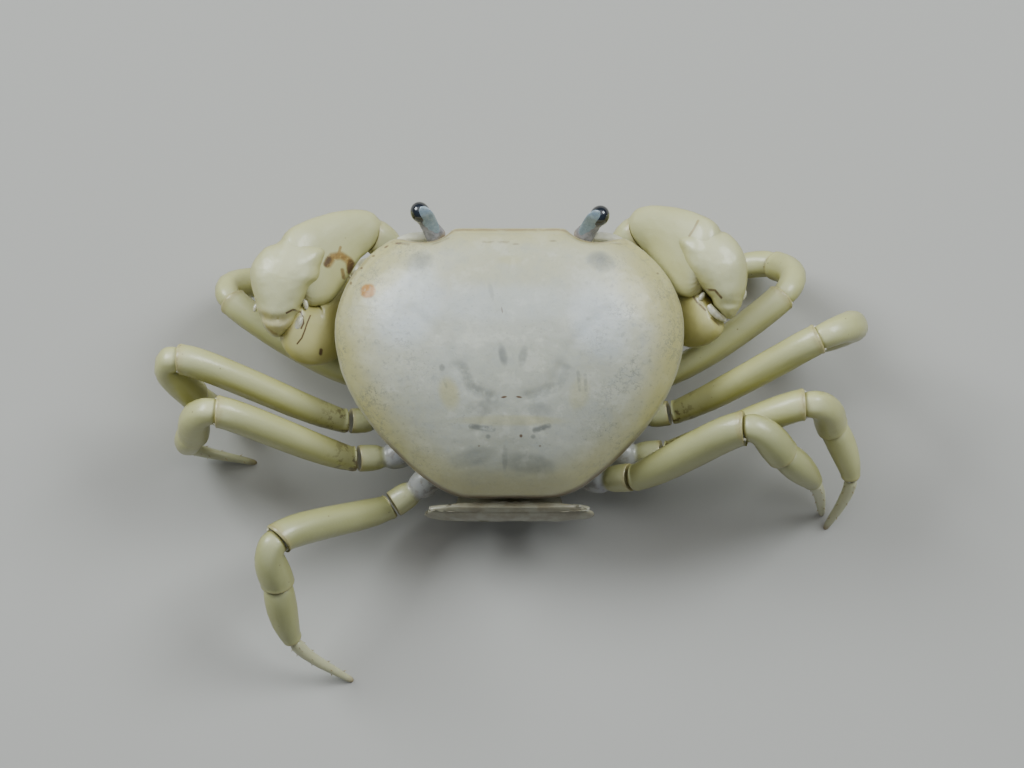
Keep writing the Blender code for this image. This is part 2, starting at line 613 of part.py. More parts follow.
def main():
    """Builds the crab, then stands it over the origin."""
    for item in list(bpy.data.objects):
        bpy.data.objects.remove(item, do_unlink=True)
    crab = bpy.data.collections.new("freshwater_crab")
    cutters = bpy.data.collections.new("cutters")
    bpy.context.scene.collection.children.link(crab)
    bpy.context.scene.collection.children.link(cutters)
    build_shell(crab, cutters)
    build_breastplate(crab)
    build_abdomen(crab)
    build_mouth(crab)
    for side_name, sign in (("left", 1.0), ("right", -1.0)):
        build_eye(crab, side_name, sign)
        build_feeler(crab, side_name, sign)
        build_claw(crab, side_name, sign)
        for number in LEG_LENGTHS:
            build_leg(crab, side_name, number, sign)
    shift = centre_on_origin(crab)
    for item in list(crab.objects) + list(cutters.objects):
        item.location = shift


main()
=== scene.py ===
"""The looks of a pale freshwater crab, a still life-size model for a museum shelf.

Every piece is shaped in millimetres round the middle of the shell, with the head towards -Y
and the animal's left towards +X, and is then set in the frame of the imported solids.
"""

import logging
import math
from dataclasses import dataclass, field
from enum import Enum
from typing import Protocol, Sequence, TypeVar, Union

import bmesh
import bpy
from mathutils import Matrix, Vector, noise


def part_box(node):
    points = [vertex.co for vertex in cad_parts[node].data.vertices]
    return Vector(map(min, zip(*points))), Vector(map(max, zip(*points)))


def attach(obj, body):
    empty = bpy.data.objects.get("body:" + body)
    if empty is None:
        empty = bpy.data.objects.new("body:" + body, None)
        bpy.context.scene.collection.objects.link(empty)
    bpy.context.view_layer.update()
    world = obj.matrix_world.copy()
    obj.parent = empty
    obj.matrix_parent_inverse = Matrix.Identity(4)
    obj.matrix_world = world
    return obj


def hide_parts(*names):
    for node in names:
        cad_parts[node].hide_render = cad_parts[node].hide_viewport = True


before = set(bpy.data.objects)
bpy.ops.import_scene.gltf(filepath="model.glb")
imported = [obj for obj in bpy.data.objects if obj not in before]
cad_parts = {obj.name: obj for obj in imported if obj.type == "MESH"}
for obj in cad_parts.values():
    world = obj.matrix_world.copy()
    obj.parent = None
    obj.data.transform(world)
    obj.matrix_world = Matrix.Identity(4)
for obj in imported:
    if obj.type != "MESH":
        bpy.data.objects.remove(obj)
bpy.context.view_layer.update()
LOG = logging.getLogger("crab")

MM = 0.001
GAP = 0.3
UP = Vector((0.0, 0.0, 1.0))
ACROSS = Vector((1.0, 0.0, 0.0))
AHEAD = Vector((0.0, -1.0, 0.0))
# How deep bumps are, and how deep red, green and blue light soak in, in mm
BUMP_DEPTH = 0.1
SOAK_DEPTHS = (0.8, 0.7, 0.4)
Piece = bpy.types.Object
Material = bpy.types.Material
Socket = bpy.types.NodeSocket
Colour = tuple[float, float, float, float]
Triple = tuple[float, float, float]
Value = Union["Wire", float]
Input = Union["Wire", Socket, float, Sequence[float]]
Tone = Union["Wire", Colour]
Amount = TypeVar("Amount", float, Vector)


def shell_middle() -> Vector:
    """The middle of the shell in plan, in metres, on the floor."""
    low, high = (Vector(corner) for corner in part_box("carapace"))
    middle = (low + high) / 2
    return Vector((middle.x, middle.y, 0.0))


ORIGIN = shell_middle()


class Side(Enum):
    """The two sides of the animal, with the sign of x there."""

    LEFT = 1.0
    RIGHT = -1.0

    @property
    def word(self) -> str:
        """The side's name as it stands in node names."""
        return self.name.lower()

    def place(self, point: Triple) -> Vector:
        """A point given for the left side, on this side."""
        return Vector((point[0] * self.value, point[1], point[2]))


# Shapes in space


def blend(start: Amount, end: Amount, share: float) -> Amount:
    """Value part of the way from start to end, for numbers and vectors alike."""
    return start + (end - start) * share


def aim(heading: float, pitch: float, sign: float) -> Vector:
    """Unit direction from a heading and a pitch on one side of the body.

    Args:
        heading: degrees in plan, 0 straight out to the side and 90 straight ahead.
        pitch: degrees above level.
        sign: 1 on the left side and -1 on the right.

    Returns:
        The direction.
    """
    turn = math.radians(heading)
    rise = math.radians(pitch)
    level = math.cos(rise)
    return Vector((sign * math.cos(turn) * level, -math.sin(turn) * level, math.sin(rise)))


def carry(side: Vector, direction: Vector) -> Vector:
    """The nearest direction to side that is square to the given one."""
    return (side - direction * side.dot(direction)).normalized()


def smooth_path(points: Sequence[Vector], steps: int) -> list[Vector]:
    """Points at even steps on a smooth curve through the given ones."""
    padded = [points[0] * 2 - points[1], *points, points[-1] * 2 - points[-2]]
    result = []
    for step in range(steps + 1):
        place = step / steps * (len(points) - 1)
        index = min(int(place), len(points) - 2)
        t = place - index
        a, b, c, d = padded[index:index + 4]
        result.append(0.5 * (b * 2 + (c - a) * t + (a * 2 - b * 5 + c * 4 - d) * t * t
                             + (b * 3 - a - c * 3 + d) * t ** 3))
    return result


def hump(distance: float, width: float) -> float:
    """A smooth bump: 1 at no distance, falling away over about the width."""
    return math.exp(-(distance / width) ** 2)


def ramp(value: float, low: float, high: float) -> float:
    """Smooth step from 0 at low to 1 at high."""
    share = min(1.0, max(0.0, (value - low) / (high - low)))
    return share * share * (3.0 - 2.0 * share)


def from_line(x: float, y: float, points: Sequence[tuple[float, float]]) -> float:
    """Distance in plan from a point to a broken line."""
    best = math.inf
    for (x0, y0), (x1, y1) in zip(points, points[1:]):
        dx, dy = x1 - x0, y1 - y0
        share = ((x - x0) * dx + (y - y0) * dy) / (dx * dx + dy * dy)
        share = min(1.0, max(0.0, share))
        best = min(best, math.hypot(x - x0 - share * dx, y - y0 - share * dy))
    return best


@dataclass
class Section:
    """One cross-section of a limb: where it is, how it is turned and how big it is."""

    centre: Vector
    side: Vector
    above: Vector
    half_wide: float
    half_high: float

    @property
    def basis(self) -> Matrix:
        """Rotation whose columns are the side, the upper direction and the way along."""
        return Matrix((self.side, self.above, self.along)).transposed()

    @property
    def along(self) -> Vector:
        """The way along the limb."""
        return self.side.cross(self.above)


def along_path(path: Sequence[Vector], side: Vector,
               sizes: Sequence[tuple[float, float]]) -> list[Section]:
    """Sections at the points of a path, each square to the path there.

    Args:
        path: the middles of the sections.
        side: the direction that their sides lean to.
        sizes: half width and half height of each.

    Returns:
        The sections in order.
    """
    sections = []
    for index, (point, (wide, high)) in enumerate(zip(path, sizes)):
        ahead = (path[min(index + 1, len(path) - 1)] - path[max(index - 1, 0)]).normalized()
        across = carry(side, ahead)
        sections.append(Section(point, across, ahead.cross(across), wide, high))
    return sections


@dataclass(frozen=True)
class Profile:
    """The outline of a section: how square it is, with a ridge and a furrow along the limb.

    Angles are degrees from the limb's side towards its upper face.
    """

    squareness: float = 2.3
    ridge_angle: float = 90.0
    ridge: float = 0.0
    furrow_angle: float = 0.0
    furrow: float = 0.0
    spread: float = 24.0

    def reach(self, angle: float) -> float:
        """Distance from the middle at one angle, where a circle has 1."""
        power = self.squareness
        value = (abs(math.cos(angle)) ** power + abs(math.sin(angle)) ** power) ** (-1.0 / power)
        for centre, height in ((self.ridge_angle, self.ridge), (self.furrow_angle, -self.furrow)):
            apart = (math.degrees(angle) - centre + 180.0) % 360.0 - 180.0
            value += height * hump(apart, self.spread)
        return value


class Bench:
    """Blender's own modelling tools, used on one piece at a time in millimetres."""

    @staticmethod
    def clear() -> None:
        """Leaves edit mode and deselects everything."""
        if bpy.context.object is not None and bpy.context.object.mode != "OBJECT":
            bpy.ops.object.mode_set(mode="OBJECT")
        bpy.ops.object.select_all(action="DESELECT")

    @staticmethod
    def pick(obj: Piece) -> None:
        """Selects one object alone and makes it the active one."""
        Bench.clear()
        obj.select_set(True)
        bpy.context.view_layer.objects.active = obj

    @staticmethod
    def edit(obj: Piece) -> None:
        """Opens one object in edit mode with the whole of it selected."""
        Bench.pick(obj)
        bpy.ops.object.mode_set(mode="EDIT")
        bpy.ops.mesh.select_all(action="SELECT")

    @staticmethod
    def close() -> Piece:
        """Ends edit mode and hands back the object."""
        bpy.ops.object.mode_set(mode="OBJECT")
        return bpy.context.object

    @staticmethod
    def settle(obj: Piece, name: str) -> Piece:
        """Names an object and moves its place into its mesh."""
        Bench.pick(obj)
        bpy.ops.object.transform_apply(location=True, rotation=True, scale=True)
        obj.name = name
        obj.data.name = name
        return obj

    @staticmethod
    def turn(rotation: Matrix, centre: Vector) -> None:
        """Turns the selection in edit mode round a point, about x, then y, then z."""
        for axis, angle in zip("XYZ", rotation.to_euler("XYZ")):
            if abs(angle) > 0.00001:
                bpy.ops.transform.rotate(value=-angle, orient_axis=axis, orient_type="GLOBAL",
                                         center_override=centre)

    @staticmethod
    def resize(factors: Triple, basis: Matrix, centre: Vector) -> None:
        """Resizes the selection in edit mode along a section's own directions."""
        bpy.ops.transform.resize(value=factors, orient_type="LOCAL", orient_matrix=basis,
                                 orient_matrix_type="LOCAL", center_override=centre)

    @staticmethod
    def extrude(move: Vector) -> None:
        """Extrudes the selected face and moves it."""
        bpy.ops.mesh.extrude_region_move(TRANSFORM_OT_translate={"value": move})

    @staticmethod
    def modify(obj: Piece, kind: str, **settings: float) -> None:
        """Adds one modifier, sets it and applies it."""
        Bench.pick(obj)
        modifier = obj.modifiers.new(kind.lower(), kind)
        for key, value in settings.items():
            setattr(modifier, key, value)
        bpy.ops.object.modifier_apply(modifier=modifier.name)

    @staticmethod
    def smooth(obj: Piece, levels: int) -> None:
        """Applies a subdivision surface."""
        Bench.modify(obj, "SUBSURF", levels=levels, render_levels=levels)

    @staticmethod
    def loft(name: str, sections: Sequence[Section], sides: int,
             profile: Profile = Profile()) -> Piece:
        """Models a limb piece by extruding, turning and resizing a disc from section to section.

        Args:
            name: the piece's name.
            sections: the sections in order.
            sides: the number of sides of the disc.
            profile: the outline of the sections.

        Returns:
            The piece, still open in edit mode with its last face selected.
        """
        first = sections[0]
        Bench.clear()
        bpy.ops.mesh.primitive_circle_add(vertices=sides, radius=1.0, fill_type="NGON",
                                          location=first.centre, rotation=first.basis.to_euler())
        obj = bpy.context.object
        fullness = 3.0 / (2.0 + math.cos(math.tau / sides))
        for vertex in obj.data.vertices:
            vertex.co *= profile.reach(math.atan2(vertex.co.y, vertex.co.x)) * fullness
        Bench.settle(obj, name)
        Bench.edit(obj)
        Bench.resize((first.half_wide, first.half_high, 1.0), first.basis, first.centre)
        for before, after in zip(sections, sections[1:]):
            wider, higher = after.half_wide / before.half_wide, after.half_high / before.half_high
            Bench.extrude(after.centre - before.centre)
            Bench.turn(after.basis @ before.basis.transposed(), after.centre)
            Bench.resize((wider, higher, 1.0), after.basis, after.centre)
        return obj

    @staticmethod
    def rod(name: str, sections: Sequence[Section], sides: int, levels: int,
            profile: Profile = Profile()) -> Piece:
        """Lofts a piece without a rim, closes it and smooths it."""
        obj = Bench.loft(name, sections, sides, profile)
        Bench.close()
        Bench.smooth(obj, levels)
        return obj

    @staticmethod
    def stack(name: str, rings: Sequence[Sequence[Vector]]) -> Piece:
        """Models a piece upwards by extruding a disc and placing the points of each new ring.

        Args:
            name: the piece's name.
            rings: its outlines from foot to top, each with the same number of points.

        Returns:
            The piece, still open in edit mode with its last face selected.
        """
        count = len(rings[0])
        Bench.clear()
        bpy.ops.mesh.primitive_circle_add(vertices=count, radius=1.0, fill_type="NGON")
        obj = Bench.settle(bpy.context.object, name)
        Bench.edit(obj)
        for index, ring in enumerate(rings):
            if index > 0:
                Bench.extrude(UP)
            bm = bmesh.from_edit_mesh(obj.data)
            bm.verts.ensure_lookup_table()
            for vertex, point in zip(bm.verts[-count:], ring):
                vertex.co = point
            next(face for face in bm.faces if face.select).normal_update()
            bmesh.update_edit_mesh(obj.data)
        return obj

    @staticmethod
    def lip(last: Section, width: float) -> None:
        """Turns the selected last face into a rim round a shallow socket."""
        depth = width * 1.6
        bpy.ops.mesh.inset(thickness=width, depth=0.0)
        Bench.extrude(last.along * -depth)
        Bench.resize((0.9, 0.9, 1.0), last.basis, last.centre - last.along * depth)

    @staticmethod
    def knob(name: str, centre: Vector, radii: Triple, basis: Matrix, segments: int,
             rings: int) -> Piece:
        """A rounded knob, flattened along its own directions."""
        Bench.clear()
        bpy.ops.mesh.primitive_uv_sphere_add(segments=segments, ring_count=rings, radius=1.0,
                                             location=centre, rotation=basis.to_euler())
        obj = Bench.settle(bpy.context.object, name)
        Bench.edit(obj)
        Bench.resize(radii, basis, centre)
        return Bench.close()

    @staticmethod
    def spine(name: str, root: Vector, direction: Vector, radius: float, height: float,
              sides: int = 6) -> Piece:
        """A small pointed spine with its root sunk in what it grows from."""
        Bench.clear()
        turned = direction.to_track_quat("Z", "Y").to_euler()
        bpy.ops.mesh.primitive_cone_add(vertices=sides, radius1=radius, radius2=radius * 0.12,
                                        depth=height, location=root + direction * height * 0.3,
                                        rotation=turned)
        return Bench.settle(bpy.context.object, name)

    @staticmethod
    def join(name: str, pieces: Sequence[Piece]) -> Piece:
        """Joins pieces into the first of them."""
        Bench.pick(pieces[0])
        for piece in pieces[1:]:
            piece.select_set(True)
        bpy.ops.object.join()
        pieces[0].name = name
        pieces[0].data.name = name
        return pieces[0]

    @staticmethod
    def outward(obj: Piece) -> None:
        """Points all faces outwards."""
        Bench.edit(obj)
        bpy.ops.mesh.normals_make_consistent(inside=False)
        Bench.close()

    @staticmethod
    def mark(obj: Piece, name: str, values: Sequence[float]) -> None:
        """Writes one number for each point of a mesh, for its finish to read."""
        layer = obj.data.attributes.get(name) or obj.data.attributes.new(name, "FLOAT", "POINT")
        layer.data.foreach_set("value", list(values))

    @staticmethod
    def deliver(obj: Piece, finish: Material, nodes: Sequence[str], slot: str,
                sharp: float = 40.0) -> Piece:
        """Sets a finished piece in the frame, dresses it and hides the solids that it stands for.

        Args:
            obj: the piece, in millimetres round the shell's middle.
            finish: its material.
            nodes: the names of the solids that it replaces.
            slot: the name of a material slot; not used.
            sharp: edges over this many degrees stay sharp.

        Returns:
            The same piece.
        """
        if not obj.data.materials:
            obj.data.materials.append(finish)
        Bench.outward(obj)
        obj.data.transform(Matrix.Translation(ORIGIN) @ Matrix.Scale(MM, 4))
        Bench.pick(obj)
        bpy.ops.object.shade_smooth_by_angle(angle=math.radians(sharp))
        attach(obj, "root")
        if nodes:
            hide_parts(*nodes)
        LOG.info("%s: %d faces", obj.name, len(obj.data.polygons))
        return obj


# Finishes


class Wire:
    """A number socket that can be used in Python expressions."""

    def __init__(self, graph: "Graph", socket: Socket) -> None:
        """Keeps the graph and the socket."""
        self.graph = graph
        self.socket = socket

    def _math(self, operation: str, *values: Value) -> "Wire":
        """One Math node on the given values."""
        return self.graph.node("ShaderNodeMath", {"operation": operation}, *values)

    def __add__(self, other: Value) -> "Wire":
        """Sum."""
        return self._math("ADD", self, other)

    def __radd__(self, other: Value) -> "Wire":
        """Sum with a number on the left."""
        return self._math("ADD", other, self)

    def __sub__(self, other: Value) -> "Wire":
        """Difference."""
        return self._math("SUBTRACT", self, other)

    def __rsub__(self, other: Value) -> "Wire":
        """Difference from a number."""
        return self._math("SUBTRACT", other, self)

    def __mul__(self, other: Value) -> "Wire":
        """Product."""
        return self._math("MULTIPLY", self, other)

    def __rmul__(self, other: Value) -> "Wire":
        """Product with a number on the left."""
        return self._math("MULTIPLY", other, self)

    def __truediv__(self, other: Value) -> "Wire":
        """Quotient."""
        return self._math("DIVIDE", self, other)

    def least(self, other: Value) -> "Wire":
        """The smaller of two values."""
        return self._math("MINIMUM", self, other)

    def most(self, other: Value) -> "Wire":
        """The larger of two values."""
        return self._math("MAXIMUM", self, other)

    def size(self) -> "Wire":
        """The value without its sign."""
        return self._math("ABSOLUTE", self)

    def step(self, low: float, high: float) -> "Wire":
        """Smooth step from 0 at low to 1 at high, or the other way where low is the larger."""
        settings = {"interpolation_type": "SMOOTHSTEP", "clamp": True}
        if low < high:
            return self.graph.node("ShaderNodeMapRange", settings, self, low, high, 0.0, 1.0)
        return self.graph.node("ShaderNodeMapRange", settings, self, high, low, 1.0, 0.0)


class Graph:
    """The nodes of one material, with the places of a pattern in millimetres."""

    def __init__(self, name: str) -> None:
        """Starts a material with a Principled shader."""
        self.material = bpy.data.materials.new(name)
        self.material.use_nodes = True
        self.nodes = self.material.node_tree.nodes
        self.links = self.material.node_tree.links
        self.shader = self.nodes["Principled BSDF"]
        coordinates = self.nodes.new("ShaderNodeTexCoord")
        mapping = self.nodes.new("ShaderNodeMapping")
        mapping.inputs["Location"].default_value = ORIGIN * (-1.0 / MM)
        mapping.inputs["Scale"].default_value = (1.0 / MM, 1.0 / MM, 1.0 / MM)
        self.links.new(coordinates.outputs["Object"], mapping.inputs["Vector"])
        self.place = mapping.outputs["Vector"]
        self.x, self.y, self.z = self.parts(self.place)

    def node(self, kind: str, settings: dict, *values: Input) -> Wire:
        """Adds a node, sets it first, then gives its sockets values or links in order.

        Args:
            kind: the node's type.
            settings: the node's own properties.
            values: for each input in turn a wire, a socket or a plain value.

        Returns:
            Its first output as a wire.
        """
        made = self.nodes.new(kind)
        for key, value in settings.items():
            setattr(made, key, value)
        open_inputs = [socket for socket in made.inputs if socket.enabled]
        for socket, value in zip(open_inputs, values):
            if isinstance(value, Wire):
                self.links.new(value.socket, socket)
            elif isinstance(value, Socket):
                self.links.new(value, socket)
            else:
                socket.default_value = value
        return Wire(self, next(socket for socket in made.outputs if socket.enabled))

    def parts(self, vector: Socket) -> tuple[Wire, Wire, Wire]:
        """The three numbers of a vector."""
        split = self.node("ShaderNodeSeparateXYZ", {}, vector)
        return tuple(Wire(self, socket) for socket in split.socket.node.outputs)

    def upward(self) -> Wire:
        """How far the surface faces up: 1 at a level top and -1 at a level underside."""
        geometry = self.nodes.new("ShaderNodeNewGeometry")
        return self.parts(geometry.outputs["Normal"])[2]

    def mark(self, name: str) -> Wire:
        """A number written on the piece's points."""
        made = self.nodes.new("ShaderNodeAttribute")
        made.attribute_name = name
        return Wire(self, made.outputs["Fac"])

    def noise(self, scale: float, detail: float = 3.0, roughness: float = 0.5) -> Wire:
        """Cloudy noise with the given number of blotches to the millimetre."""
        return self.node("ShaderNodeTexNoise", {"noise_dimensions": "3D"}, self.place, scale,
                         detail, roughness)

    def cells(self, scale: float) -> Wire:
        """Distance to the middle of scattered cells."""
        return self.node("ShaderNodeTexVoronoi", {"voronoi_dimensions": "3D"}, self.place, scale)

    def mix(self, share: Value, first: Tone, second: Tone) -> Wire:
        """A colour part of the way from the first to the second."""
        made = self.nodes.new("ShaderNodeMix")
        made.data_type = "RGBA"
        for index, value in ((0, share), (6, first), (7, second)):
            socket = made.inputs[index]
            if isinstance(value, Wire):
                self.links.new(value.socket, socket)
            else:
                socket.default_value = value
        return Wire(self, made.outputs[2])

    def spot(self, x: float, y: float, half_wide: float, half_long: float, turn: float = 0.0,
             soft: float = 0.5) -> Wire:
        """Mask of an oval mark in plan.

        Args:
            x: middle of the mark to the animal's left, in mm from the shell's middle.
            y: middle of the mark towards the tail.
            half_wide: half size across.
            half_long: half size along.
            turn: degrees that the oval is turned.
            soft: share of the size over which it fades.

        Returns:
            1 in the mark and 0 outside.
        """
        cosine, sine = math.cos(math.radians(turn)), math.sin(math.radians(turn))
        dx, dy = self.x - x, self.y - y
        u = (dx * cosine + dy * sine) / half_wide
        v = (dy * cosine - dx * sine) / half_long
        return (u * u + v * v).step(1.0 + soft, 1.0 - soft)

    def stroke(self, points: Sequence[tuple[float, float]], width: float) -> Wire:
        """Mask of a line in plan, fading over its width."""
        nearest = None
        for (x0, y0), (x1, y1) in zip(points, points[1:]):
            dx, dy = x1 - x0, y1 - y0
            length = dx * dx + dy * dy
            share = (((self.x - x0) * dx + (self.y - y0) * dy) / length).most(0.0).least(1.0)
            ex = self.x - x0 - share * dx
            ey = self.y - y0 - share * dy
            apart = ex * ex + ey * ey
            nearest = apart if nearest is None else nearest.least(apart)
        return nearest.step(width * width, 0.0)

    def finish(self, colour: Wire, roughness: Value, height: Wire | None = None,
               bump: float = 0.1) -> Material:
        """Links what varies over the surface and hands back the material."""
        self.links.new(colour.socket, self.shader.inputs["Base Color"])
        if isinstance(roughness, Wire):
            self.links.new(roughness.socket, self.shader.inputs["Roughness"])
        else:
            self.shader.inputs["Roughness"].default_value = roughness
        if height is not None:
            made = self.nodes.new("ShaderNodeBump")
            made.inputs["Strength"].default_value = bump
            made.inputs["Distance"].default_value = BUMP_DEPTH * MM
            self.links.new(height.socket, made.inputs["Height"])
            self.links.new(made.outputs["Normal"], self.shader.inputs["Normal"])
        return self.material

    def gloss(self, coat: float, coat_roughness: float, scatter: float = 0.0) -> None:
        """Sets the wet film on the surface and how much light soaks into it."""
        self.shader.inputs["Coat Weight"].default_value = coat
        self.shader.inputs["Coat Roughness"].default_value = coat_roughness
        self.shader.inputs["Subsurface Weight"].default_value = scatter
        self.shader.inputs["Subsurface Radius"].default_value = SOAK_DEPTHS
        self.shader.inputs["Subsurface Scale"].default_value = MM


@dataclass(frozen=True)
class ShellFinish:
    """Ivory shell, greyer in the middle and yellower at the edge, with its own small marks and
    painted sky highlights.
    """

    ivory: Colour = (0.56, 0.555, 0.39, 1.0)
    grey: Colour = (0.43, 0.455, 0.42, 1.0)
    yellow: Colour = (0.50, 0.46, 0.17, 1.0)
    smudge: Colour = (0.17, 0.18, 0.17, 1.0)
    brown: Colour = (0.13, 0.065, 0.03, 1.0)
    amber: Colour = (0.24, 0.15, 0.06, 1.0)
    rust: Colour = (0.44, 0.185, 0.004, 1.0)
    painted_sky_sheen: Colour = (0.60, 0.67, 0.76, 1.0)
    pale: Colour = (0.66, 0.67, 0.58, 1.0)
    under: Colour = (0.58, 0.57, 0.44, 1.0)
    # Ovals: place, half width, half length, turn and strength
    grey_spots: tuple = ((0.55, 0.0, 0.34, 0.82, 12.0, 0.55), (-1.14, 0.05, 0.34, 0.8, -12.0, 0.5),
                         (2.2, 4.25, 1.3, 0.6, 8.0, 0.42), (-2.4, 4.4, 1.2, 0.5, -8.0, 0.3),
                         (7.65, -8.2, 1.1, 0.8, 20.0, 0.5), (-7.75, -8.2, 1.1, 0.8, -20.0, 0.5),
                         (3.2, 8.3, 1.9, 0.7, 12.0, 0.4), (-1.6, 8.8, 2.2, 0.75, -8.0, 0.42),
                         (0.4, 8.4, 0.22, 0.9, 0.0, 0.4), (5.7, 1.0, 0.24, 0.28, 0.0, 0.5),
                         (1.56, -5.5, 0.2, 0.7, 14.0, 0.25), (1.82, 6.65, 0.2, 0.18, 0.0, 0.6),
                         (-1.99, 6.65, 0.2, 0.18, 0.0, 0.6))
    # Painted highlights: pale blue ovals that stand for the sky's reflection on the shell
    sheen_spots: tuple = ((8.6, -4.4, 2.6, 3.4, -20.0, 0.6), (-7.6, -2.9, 2.2, 3.2, 20.0, 0.45),
                          (0.5, -4.5, 6.0, 1.6, 0.0, 0.25))
    yellow_spots: tuple = ((5.1, 3.1, 0.8, 1.3, 15.0, 0.5), (-5.9, 3.1, 0.8, 1.3, -15.0, 0.4),
                           (0.0, 5.35, 4.3, 0.42, 0.0, 0.4), (0.05, -8.2, 1.0, 0.4, 0.0, 0.35),
                           (10.5, -7.0, 2.4, 1.1, 40.0, 0.6), (-11.5, -5.5, 3.0, 1.7, -55.0, 0.5),
                           (0.0, -7.4, 5.0, 1.5, 0.0, 0.25), (-13.0, 0.0, 1.2, 3.0, 0.0, 0.2))
    brown_spots: tuple = ((0.46, 3.45, 0.24, 0.08, 8.0, 0.9), (-0.80, 3.45, 0.24, 0.08, -8.0, 0.9),
                          (-0.97, 6.6, 0.13, 0.13, 0.0, 0.8), (2.58, 7.4, 0.1, 0.08, 0.0, 0.5),
                          (-2.58, 7.4, 0.1, 0.08, 0.0, 0.5), (0.63, -3.84, 0.06, 0.26, 10.0, 0.6),
                          (-0.55, -9.7, 0.28, 0.09, 0.0, 0.4), (-3.69, -10.0, 0.3, 0.09, 0.0, 0.4),
                          (9.4, -10.0, 0.3, 0.1, 0.0, 0.8), (10.5, -9.75, 0.2, 0.09, 30.0, 0.8),
                          (11.6, -8.95, 0.14, 0.09, 0.0, 0.8), (12.6, -7.9, 0.12, 0.1, 0.0, 0.8),
                          (13.5, -6.6, 0.1, 0.16, 0.0, 0.7), (-12.6, -7.4, 0.1, 0.1, 0.0, 0.6))
    rust_spot: tuple = (12.0, -5.75, 0.66, 0.64, 0.0)
    # Lines: points, width and strength
    grey_lines: tuple = ((((3.92, 0.96), (3.25, 2.7), (1.39, 3.6)), 0.6, 0.4),
                         (((-4.85, 1.1), (-4.0, 2.5), (-1.98, 3.4)), 0.6, 0.4),
                         (((3.25, 5.8), (2.32, 5.97), (1.4, 6.05)), 0.3, 0.75),
                         (((-2.15, 6.13), (-2.74, 5.96), (-3.34, 5.79)), 0.3, 0.75),
                         (((5.55, 1.9), (5.3, 2.6)), 0.16, 0.35),
                         (((-5.78, 1.35), (-5.95, 2.8)), 0.2, 0.4),
                         (((-6.37, 1.6), (-6.46, 2.8)), 0.2, 0.4))
    brown_lines: tuple = ((((2.25, -9.9), (0.04, -9.9)), 0.14, 0.4),
                          (((11.9, -8.9), (13.6, -6.9), (14.6, -4.2)), 0.2, 0.3),
                          (((5.2, -10.3), (6.6, -9.75)), 0.16, 0.4),
                          (((8.6, -9.85), (10.0, -10.1)), 0.2, 0.4),
                          (((-8.6, -9.85), (-10.0, -10.0)), 0.16, 0.35))

    def build(self) -> Material:
        """Makes the material."""
        graph = Graph("shell_ivory")
        facing_up = graph.upward().step(0.05, 0.4)
        ring = graph.mark("ring")
        cloud = graph.noise(0.16, 4.0, 0.55)
        grain = graph.noise(1.6, 4.0, 0.6)
        middle = graph.spot(-0.3, 1.2, 10.0, 9.5, soft=0.85)
        colour = graph.mix(middle * (0.45 + cloud * 0.6), self.ivory, self.grey)
        colour = graph.mix((cloud - 0.42).step(0.0, 0.3) * 0.35, colour, self.pale)
        mottle = graph.noise(0.5, 4.0, 0.62)
        colour = graph.mix(mottle.step(0.5, 0.64) * 0.42, colour, self.grey)
        colour = graph.mix(mottle.step(0.48, 0.36) * 0.4, colour, self.pale)
        edge = ring.step(0.74, 1.0) * (1.0 - ring.step(1.0, 1.4))
        colour = graph.mix((edge * cloud * 1.5).least(0.85), colour, self.yellow)
        # The first group is painted sky reflection; the others are the shell's own marks
        for spots, tone, broken in ((self.sheen_spots, self.painted_sky_sheen, cloud + 0.3),
                                    (self.yellow_spots, self.yellow, cloud * 1.7),
                                    (self.grey_spots, self.smudge, mottle * 1.8),
                                    (self.brown_spots, self.brown, grain + 0.5)):
            for x, y, wide, tall, turn, strength in spots:
                share = graph.spot(x, y, wide, tall, turn, 0.8) * facing_up * broken * strength
                colour = graph.mix(share.least(0.95), colour, tone)
        for lines, tone in ((self.grey_lines, self.smudge), (self.brown_lines, self.brown)):
            for points, width, strength in lines:
                share = graph.stroke(points, width) * facing_up * grain.step(0.3, 0.6) * strength
                colour = graph.mix(share, colour, tone)
        x, y, wide, tall, turn = self.rust_spot
        spotted = graph.spot(x, y, wide, tall, turn, 0.4) * (grain.step(0.38, 0.5) * 0.5 + 0.5)
        colour = graph.mix(spotted * facing_up * 0.95, colour, self.rust)
        pits = graph.cells(2.1).step(0.2, 0.06)
        zones = graph.noise(0.3, 2.0).step(0.44, 0.6)
        sides = (graph.x.size() / 15.0).step(0.3, 0.75)
        veins = (graph.noise(0.95, 4.0, 0.7) - 0.5).size().step(0.034, 0.0)
        colour = graph.mix(veins * zones * (sides * 0.42 + 0.05), colour, self.smudge)
        speckle = graph.noise(2.4, 4.0, 0.7).step(0.53, 0.68)
        colour = graph.mix(speckle * (0.12 + sides * 0.22), colour, self.smudge)
        dark_pits = pits * zones * (0.2 + sides * 0.8)
        colour = graph.mix(dark_pits * 0.6, colour, self.smudge)
        colour = graph.mix(1.0 - facing_up, colour, self.under)
        brow = graph.mark("brow")
        rim = (ring - 0.975).size().step(0.012, 0.0) * brow
        colour = graph.mix(rim * grain.step(0.2, 0.5) * 0.7, colour, self.amber)
        rear_line = (ring - 0.996).size().step(0.02, 0.0) * (1.0 - brow) * graph.y.step(4.0, 8.0)
        colour = graph.mix(rear_line * 0.8, colour, self.brown)
        fine = graph.noise(5.0, 2.0, 0.6)
        height = fine * 0.5 + grain * 0.8 - pits * zones * 0.9 - veins * zones * sides * 0.5
        graph.gloss(0.35, 0.25, 0.1)
        return graph.finish(colour, 0.33 + grain * 0.16 + dark_pits * 0.2, height, 0.22)


